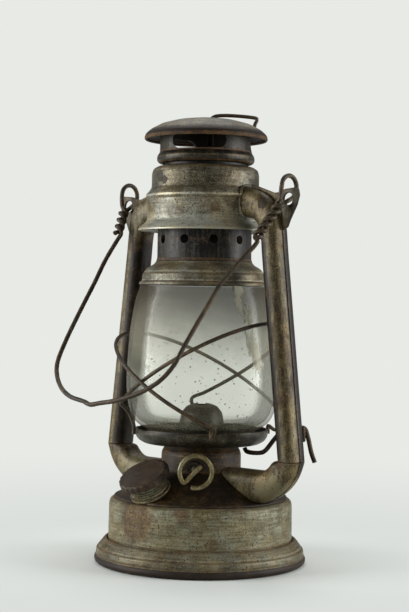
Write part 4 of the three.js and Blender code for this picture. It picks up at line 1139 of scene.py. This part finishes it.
def make_bracket():
    """The plate on the tube that holds the lever's pin, and the pin with its round head."""
    bracket = block("lever_bracket_pressed", (PIN_REACH, 8.22, PIN_HEIGHT), (8.2, 2.2, 8.2))
    bevelled(bracket, 0.7, 3)
    bpy.ops.object.shade_smooth_by_angle(angle=math.radians(40))
    across = Matrix.Rotation(math.radians(90), 3, "X")
    pierced(bracket, [peg(1.6, 8, (PIN_REACH, 8, PIN_HEIGHT), across)])
    dressed(bracket, rusty_cone(), "frame", "rusty_steel", "lever_bracket")
    outline = [
        (0, 0), (1.3, 0), (1.3, 4.9), (1.5, 5.2), (2.4, 5.3), (2.6, 5.6), (2.4, 6), (1.2, 6.3), (0, 6.35),
    ]
    pin = spun("lever_pin_headed", outline, 32)
    stand = Matrix.Rotation(math.radians(-90), 4, "X")
    stand.translation = (PIN_REACH, 7.05, PIN_HEIGHT)
    placed(pin, stand)
    dressed(pin, rusty_cone(), "frame", "rusty_steel", "lever_pin")


# Filler neck and cap

THREADS = 5
THREAD_PITCH = 1.35
CAP_RIBS = 24


def make_filler():
    """The threaded neck, and the seal that lies on it in the cap."""
    place = filler_place()
    outline = [(8.2, -6), (9.6, -6), (9.6, 0), (11.2, 0), (11.4, 0.3), (11.4, 1), (11.1, 1.2), (9.7, 1.3)]
    for i in range(1, THREADS + 1):
        middle = 1.1 + i * THREAD_PITCH
        outline += [(9.55, middle - 0.6), (10.3, middle - 0.2), (10.3, middle + 0.15), (9.55, middle + 0.5)]
    outline += [(9.6, 8.6), (9.6, 9.3), (9.4, 9.5), (8.4, 9.5), (8.2, 9.3)]
    neck = placed(spun("filler_neck_threaded", outline, 72), place)
    dressed(neck, bright_thread(), "frame", "galvanised", "filler_neck")
    outline = [(1, 9.8), (9.7, 9.8), (9.85, 10), (9.85, 10.6), (9.7, 10.8), (1, 10.8)]
    seal = placed(spun("cap_seal_ring", outline, 64), place)
    dressed(seal, matt_rubber(), "seal", "seal_rubber", "cap_seal")


def make_cap():
    """The cap, with grooves pressed into its rim between its ribs."""
    outline = [
        (10.75, 8.7), (13.7, 8.7), (14.1, 9), (14.1, 11.5), (13.8, 12), (13, 12.4), (12.2, 12.5),
        (11, 12.3), (10.3, 12.05), (0, 12.0), (0, 11.15), (10.4, 11.15), (10.75, 10.8),
    ]
    steps = CAP_RIBS * 4
    cap = spun("filler_cap_knurled", outline, steps)
    bpy.ops.object.mode_set(mode="EDIT")
    bpy.ops.mesh.select_all(action="DESELECT")
    bpy.ops.object.mode_set(mode="OBJECT")
    for vertex in cap.data.vertices:
        out = Vector((vertex.co.x, vertex.co.y)).length
        turn = math.degrees(math.atan2(vertex.co.y, vertex.co.x))
        in_groove = round(turn / (360 / steps)) % 4 in (0, 1)
        vertex.select = in_groove and out > 13.65 * MM and 8.8 * MM < vertex.co.z < 12.1 * MM
    bpy.ops.object.mode_set(mode="EDIT")
    bpy.ops.transform.resize(value=(0.968, 0.968, 1), center_override=(0, 0, 0))
    bpy.ops.object.mode_set(mode="OBJECT")
    placed(cap, filler_place())
    dressed(cap, worn_cap(), "cap", "cap_paint", "filler_cap")


# Burner, wick and winder

AIR_HOLES = 12


def along_winder(piece):
    """Turns a piece's mesh round the lamp's axis, so that its X runs along the winder's shaft."""
    piece.data.transform(winder_place().to_3x3().to_4x4())
    return piece


def make_burner():
    """The turned base with the wick's way through it, the pierced air plate and the flame's dome."""
    outline = [
        (0, 31.3), (10.2, 31.3), (10.2, 36.5), (12.3, 36.5), (12.5, 36.8), (12.5, 37.8), (12.2, 38.1),
        (9.7, 38.1), (9.7, 47.8), (9.3, 48.3), (0, 48.3),
    ]
    base = spun("burner_base_turned", outline, 64)
    pierced(base, [along_winder(block("wick_way", (0, 0, 40), (13.6, 5.4, 40)))])
    dressed(base, smoked_brass(), "frame", "brass_parts", "burner_base")
    places = [turned(i * 360 / AIR_HOLES) @ Vector((16.4, 0, 63.8)) for i in range(AIR_HOLES)]
    holes = [peg(1.3, 4, place, UPRIGHT, 16) for place in places]
    plate = spun("air_plate_pierced", [(7.5, 63.4), (19, 63.4), (19.2, 63.8), (19, 64.2), (7.5, 64.2)])
    dressed(pierced(plate, holes), smoked_brass(), "frame", "brass_parts", "air_plate")
    outline = [
        (13.6, 64.6), (13.6, 66), (12.7, 69.2), (12.5, 73), (12.5, 77.8), (11.4, 83.6), (8.6, 87.1),
        (4.6, 88.6), (0, 88.85),
    ]
    dome = spun("flame_deflector_pressed", walled(eased(outline, 1.2)), 72)
    pierced(dome, [along_winder(block("flame_slot", (0, 0, 94), (12.6, 4.2, 20)))])
    dressed(dome, smoked_brass(), "frame", "brass_parts", "flame_deflector")


def make_wick():
    wick = block("wick_woven", (0, 0, 48.25), (10.4, 2.2, 71.5))
    bevelled(wick, 0.5, 2)
    dressed(along_winder(wick), woven_cotton(), "wick_strip", "wick_cotton", "wick")


def make_winder():
    """One wire: a straight shaft, a bar across the ring's middle and an open ring round it."""
    ring, face = 8.6, 43.9
    knob = []
    for i in range(23):
        angle = math.radians(222 - 330 * i / 22)
        knob.append((face, ring * math.cos(angle), ring * math.sin(angle)))
    bar = [(face, ring * out, ring * up) for out, up in ((0.25, 0.3), (-0.25, -0.2), (-0.58, -0.56))]
    shaft = [(-9.4, 0, 0), (0, 0, 0), (20, 0, 0), (40, 0, 0)]
    points = [winder_place() @ Vector(p) for p in shaft + bar + knob]
    wire = bent_wire("winder_knob_bent", points, sizes().winder_wire, 0.02, step=0.8)
    dressed(wire, plated_wire(), "winder", "pale_wire", "winder_knob")


def dress_hidden():
    """Small pieces inside the burner keep their CAD shape and get a finish."""
    for name in ("wick_tube", "wick_wheels", "winder_bush", "shaft_bracket"):
        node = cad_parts[name]
        node.data.materials.clear()
        node.data.materials.append(smoked_brass())


# Ears and handle

HINGE_HEIGHT = 207.4
EAR_REACH = 61.02
HANDLE_LENGTH = 137.5
HANDLE_LEAN = math.radians(31.67)
EYE_RADIUS = 6.2
TWIST_RADIUS = 1.8
TWIST_START = 9.5


def make_ear(side):
    """The plate keeps its CAD outline, with its edges rounded by a bevel."""
    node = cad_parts["ear_" + side]
    clear_selection()
    ear = bpy.data.objects.new("ear_pressed_" + side, node.data.copy())
    bpy.context.scene.collection.objects.link(ear)
    pick(ear)
    bpy.ops.object.mode_set(mode="EDIT")
    bpy.ops.mesh.select_all(action="SELECT")
    bpy.ops.mesh.remove_doubles(threshold=0.00001)
    bpy.ops.mesh.dissolve_limited(angle_limit=math.radians(4))
    bpy.ops.mesh.bevel(offset=0.00025, segments=2, affect="EDGES")
    bpy.ops.object.mode_set(mode="OBJECT")
    bpy.ops.object.shade_smooth_by_angle(angle=math.radians(40))
    dressed(ear, tin_tube(), "frame", "galvanised", "ear_" + side)


def handle_spot(across, down, out):
    """A point of the handle: across, down along the leaning handle, and out from the lamp."""
    return Vector((
        across,
        -down * math.sin(HANDLE_LEAN) - out * math.cos(HANDLE_LEAN),
        HINGE_HEIGHT - down * math.cos(HANDLE_LEAN) + out * math.sin(HANDLE_LEAN),
    ))


def strand(side, end, length, turns, phase):
    """One of the two strands of a twisted end, wound round an axis towards the handle's middle."""
    start = Vector((EAR_REACH - 1, TWIST_START))
    axis = Vector((end, TWIST_START + length)) - start
    aside = Vector((axis.y, -axis.x)).normalized()
    points = []
    steps = turns * 10
    for i in range(steps + 1):
        angle = phase + 2 * math.pi * turns * i / steps
        place = start + axis * (i / steps) + aside * (TWIST_RADIUS * math.cos(angle))
        points.append(handle_spot(side * place.x, place.y, TWIST_RADIUS * math.sin(angle)))
    return points


def eye(side):
    """The ring through an ear, from its outer side round to its inner side."""
    turns = [math.radians(60 + 30 * i) for i in range(9)]
    return [
        handle_spot(side * EAR_REACH, EYE_RADIUS * math.cos(t), EYE_RADIUS * math.sin(t)) for t in turns
    ]


def make_handle():
    """One wire: an eye and a twisted end at each ear, and a worn, uneven bow between them."""
    shares = [
        (0.774, 0.365), (0.69, 0.445), (0.655, 0.537), (0.614, 0.637), (0.585, 0.725), (0.559, 0.813),
        (0.48, 0.879), (0.35, 0.925), (0.201, 0.957), (0.037, 0.98), (-0.113, 0.993), (-0.225, 1.003),
        (-0.323, 0.992), (-0.527, 0.975), (-0.692, 0.94), (-0.827, 0.885), (-0.899, 0.829),
        (-0.926, 0.734), (-0.925, 0.583), (-0.912, 0.442), (-0.91, 0.33),
    ]
    right, left, quarter = (53.1, 24, 3), (55.4, 18.5, 2), math.pi / 2
    path = strand(1, *right, quarter)[::-1] + eye(1) + strand(1, *right, -quarter)
    path += [handle_spot(EAR_REACH * across, HANDLE_LENGTH * down, 0) for across, down in shares]
    path += strand(-1, *left, -quarter)[::-1] + eye(-1)[::-1] + strand(-1, *left, quarter)
    handle = bent_wire("handle_bent", path, sizes().handle_wire, 0.06, step=0.9)
    dressed(handle, rusty_wire(), "bail", "dark_wire", "handle")


# Stage, light and camera: lengths in millimetres, the focal length and the shift in the picture's pixels

VIEW_TURN = -47
VIEW_DISTANCE = 814.6
VIEW_HEIGHT = 145.5
VIEW_ROLL = 0.0157
PICTURE_HEIGHT = 612
FOCAL_LENGTH = 1450
PICTURE_SHIFT = (0.9, -4)


def make_stage():
    """The floor, which fades into the backdrop far off, the world and three large lamps."""
    clear_selection()
    bpy.ops.mesh.primitive_circle_add(vertices=96, radius=6, fill_type="NGON")
    floor = bpy.context.object
    floor.name = "stage_floor"
    s = Shader("stage_floor")
    c = colours()
    far = s.node("ShaderNodeVectorMath", {"operation": "LENGTH"}, {0: s.place}, "Value")
    ray = s.node("ShaderNodeLightPath", {}, {}, "Is Camera Ray")
    glossy = s.node("ShaderNodeLightPath", {}, {}, "Is Glossy Ray")
    shown = (ray + glossy).least(1)
    near = s.node("ShaderNodeBsdfDiffuse", {}, {"Color": tuple(c.floor)})
    pale = s.mix(s.ease(far, 60, 620), c.floor, c.backdrop)
    glow = s.node("ShaderNodeEmission", {}, {"Color": pale, "Strength": 1.0})
    share = s.ease(far, 66, 165) * shown
    s.finish(s.node("ShaderNodeMixShader", {}, {0: share, 1: near, 2: glow}))
    floor.data.materials.append(s.material)

    world = bpy.data.worlds.new("stage_world")
    bpy.context.scene.world = world
    world.use_nodes = True
    nodes, links = world.node_tree.nodes, world.node_tree.links
    nodes.clear()
    path = nodes.new("ShaderNodeLightPath")
    shown = nodes.new("ShaderNodeMath")
    shown.operation = "MAXIMUM"
    links.new(path.outputs["Is Camera Ray"], shown.inputs[0])
    links.new(path.outputs["Is Transmission Ray"], shown.inputs[1])
    soft, plain = nodes.new("ShaderNodeBackground"), nodes.new("ShaderNodeBackground")
    soft.inputs["Color"].default_value = (1, 1, 1, 1)
    soft.inputs["Strength"].default_value = 0.24
    plain.inputs["Color"].default_value = (*tuple(c.backdrop)[:3], 1)
    mixed, out = nodes.new("ShaderNodeMixShader"), nodes.new("ShaderNodeOutputWorld")
    links.new(shown.outputs[0], mixed.inputs[0])
    links.new(soft.outputs[0], mixed.inputs[1])
    links.new(plain.outputs[0], mixed.inputs[2])
    links.new(mixed.outputs[0], out.inputs[0])

    lamps = [
        ("right", (34, 0.9, 0.3), 0.6, 9),
        ("left", (-129, 0.9, 0.3), 0.6, 10),
        ("top", (133, 0.45, 1.05), 0.7, 5),
    ]
    for name, (azimuth, out_of, height), width, power in lamps:
        clear_selection()
        turn = math.radians(azimuth)
        place = Vector((out_of * math.cos(turn), out_of * math.sin(turn), height))
        bpy.ops.object.light_add(type="AREA", location=place)
        lamp = bpy.context.object
        lamp.name = "lamp_" + name
        lamp.data.size = width
        lamp.data.energy = power
        lamp.rotation_euler = (Vector((0, 0, 0.12)) - place).to_track_quat("-Z", "Y").to_euler()


def make_camera():
    turn = math.radians(VIEW_TURN)
    toward = Vector((math.cos(turn), math.sin(turn), 0))
    right = Vector((-math.sin(turn), math.cos(turn), 0))
    side = right * math.cos(VIEW_ROLL) + UP * math.sin(VIEW_ROLL)
    top = UP * math.cos(VIEW_ROLL) - right * math.sin(VIEW_ROLL)
    clear_selection()
    bpy.ops.object.camera_add()
    camera = bpy.context.object
    camera.name = "view_camera"
    matrix = Matrix((side, top, toward)).transposed().to_4x4()
    matrix.translation = toward * VIEW_DISTANCE * MM + UP * VIEW_HEIGHT * MM
    camera.matrix_world = matrix
    camera.data.sensor_fit = "VERTICAL"
    camera.data.sensor_height = 36
    camera.data.lens = camera.data.sensor_height * FOCAL_LENGTH / PICTURE_HEIGHT
    camera.data.shift_x, camera.data.shift_y = [pixels / PICTURE_HEIGHT for pixels in PICTURE_SHIFT]
    camera.data.clip_start = 0.01
    bpy.context.scene.camera = camera
    bpy.context.scene.view_settings.view_transform = "Standard"


# Operators and panel


class LANTERN_OT_base(bpy.types.Operator):
    """Presses the base pan with its rolled foot."""

    bl_idname = "lantern.base"
    bl_label = "Base"

    def execute(self, context):
        make_base()
        return {"FINISHED"}


class LANTERN_OT_tank(bpy.types.Operator):
    """Presses the tank."""

    bl_idname = "lantern.tank"
    bl_label = "Tank"

    def execute(self, context):
        make_tank()
        return {"FINISHED"}


class LANTERN_OT_cone(bpy.types.Operator):
    """Spins the air cone and its collar."""

    bl_idname = "lantern.cone"
    bl_label = "Air cone"

    def execute(self, context):
        make_cone()
        return {"FINISHED"}


class LANTERN_OT_tubes(bpy.types.Operator):
    """Presses both air tubes with their elbows and solders them to the crown."""

    bl_idname = "lantern.tubes"
    bl_label = "Air tubes"

    def execute(self, context):
        for side, sign in SIDES:
            make_tube(side, sign)
            make_elbow(side, sign)
        for side, sign in SIDES:
            make_solder(side, sign)
        return {"FINISHED"}


class LANTERN_OT_crown(bpy.types.Operator):
    """Presses the crown and its floor."""

    bl_idname = "lantern.crown"
    bl_label = "Crown"

    def execute(self, context):
        make_crown()
        return {"FINISHED"}


class LANTERN_OT_chimney(bpy.types.Operator):
    """Spins the chimney's neck and presses its top."""

    bl_idname = "lantern.chimney"
    bl_label = "Chimney"

    def execute(self, context):
        make_neck()
        make_top()
        return {"FINISHED"}


class LANTERN_OT_hood(bpy.types.Operator):
    """Presses the hood and bends its wire loop."""

    bl_idname = "lantern.hood"
    bl_label = "Hood"

    def execute(self, context):
        make_hood()
        return {"FINISHED"}


class LANTERN_OT_globe(bpy.types.Operator):
    """Blows the glass globe."""

    bl_idname = "lantern.globe"
    bl_label = "Globe"

    def execute(self, context):
        make_globe()
        return {"FINISHED"}


class LANTERN_OT_plate(bpy.types.Operator):
    """Presses the pierced plate under the globe."""

    bl_idname = "lantern.plate"
    bl_label = "Globe plate"

    def execute(self, context):
        make_plate()
        return {"FINISHED"}


class LANTERN_OT_guards(bpy.types.Operator):
    """Bends the two wires round the globe."""

    bl_idname = "lantern.guards"
    bl_label = "Guard wires"

    def execute(self, context):
        make_guards()
        return {"FINISHED"}


class LANTERN_OT_lever(bpy.types.Operator):
    """Bends the lift lever and makes its bracket and pin."""

    bl_idname = "lantern.lever"
    bl_label = "Lift lever"

    def execute(self, context):
        make_lever()
        make_bracket()
        return {"FINISHED"}


class LANTERN_OT_filler(bpy.types.Operator):
    """Turns the filler neck, its seal and its cap."""

    bl_idname = "lantern.filler"
    bl_label = "Filler"

    def execute(self, context):
        make_filler()
        make_cap()
        return {"FINISHED"}


class LANTERN_OT_burner(bpy.types.Operator):
    """Makes the burner and the wick."""

    bl_idname = "lantern.burner"
    bl_label = "Burner"

    def execute(self, context):
        make_burner()
        make_wick()
        dress_hidden()
        return {"FINISHED"}


class LANTERN_OT_winder(bpy.types.Operator):
    """Bends the wick winder."""

    bl_idname = "lantern.winder"
    bl_label = "Winder"

    def execute(self, context):
        make_winder()
        return {"FINISHED"}


class LANTERN_OT_handle(bpy.types.Operator):
    """Makes the ears and bends the handle."""

    bl_idname = "lantern.handle"
    bl_label = "Handle"

    def execute(self, context):
        for side, _ in SIDES:
            make_ear(side)
        make_handle()
        return {"FINISHED"}


class LANTERN_OT_stage(bpy.types.Operator):
    """Lays the floor and sets the light and the camera."""

    bl_idname = "lantern.stage"
    bl_label = "Stage"

    def execute(self, context):
        make_stage()
        make_camera()
        return {"FINISHED"}


STEPS = (
    LANTERN_OT_base,
    LANTERN_OT_tank,
    LANTERN_OT_cone,
    LANTERN_OT_tubes,
    LANTERN_OT_crown,
    LANTERN_OT_chimney,
    LANTERN_OT_hood,
    LANTERN_OT_globe,
    LANTERN_OT_plate,
    LANTERN_OT_guards,
    LANTERN_OT_lever,
    LANTERN_OT_filler,
    LANTERN_OT_burner,
    LANTERN_OT_winder,
    LANTERN_OT_handle,
    LANTERN_OT_stage,
)


class LANTERN_PT_build(bpy.types.Panel):
    """Sidebar panel with the lantern's sizes, colours and steps."""

    bl_label = "Lantern"
    bl_idname = "LANTERN_PT_build"
    bl_space_type = "VIEW_3D"
    bl_region_type = "UI"
    bl_category = "Lantern"

    def draw(self, context):
        layout = self.layout
        for group in (context.scene.lantern_sizes, context.scene.lantern_colours):
            for key in group.__annotations__:
                layout.prop(group, key)
        for step in STEPS:
            layout.operator(step.bl_idname)


CLASSES = (LanternSizes, LanternColours, *STEPS, LANTERN_PT_build)


def register():
    for cls in CLASSES:
        bpy.utils.register_class(cls)
    bpy.types.Scene.lantern_sizes = bpy.props.PointerProperty(type=LanternSizes)
    bpy.types.Scene.lantern_colours = bpy.props.PointerProperty(type=LanternColours)


def unregister():
    del bpy.types.Scene.lantern_colours
    del bpy.types.Scene.lantern_sizes
    for cls in reversed(CLASSES):
        bpy.utils.unregister_class(cls)


def main():
    register()
    for step in STEPS:
        group, name = step.bl_idname.split(".")
        getattr(getattr(bpy.ops, group), name)()
    clear_selection()


if __name__ == "__main__":
    main()
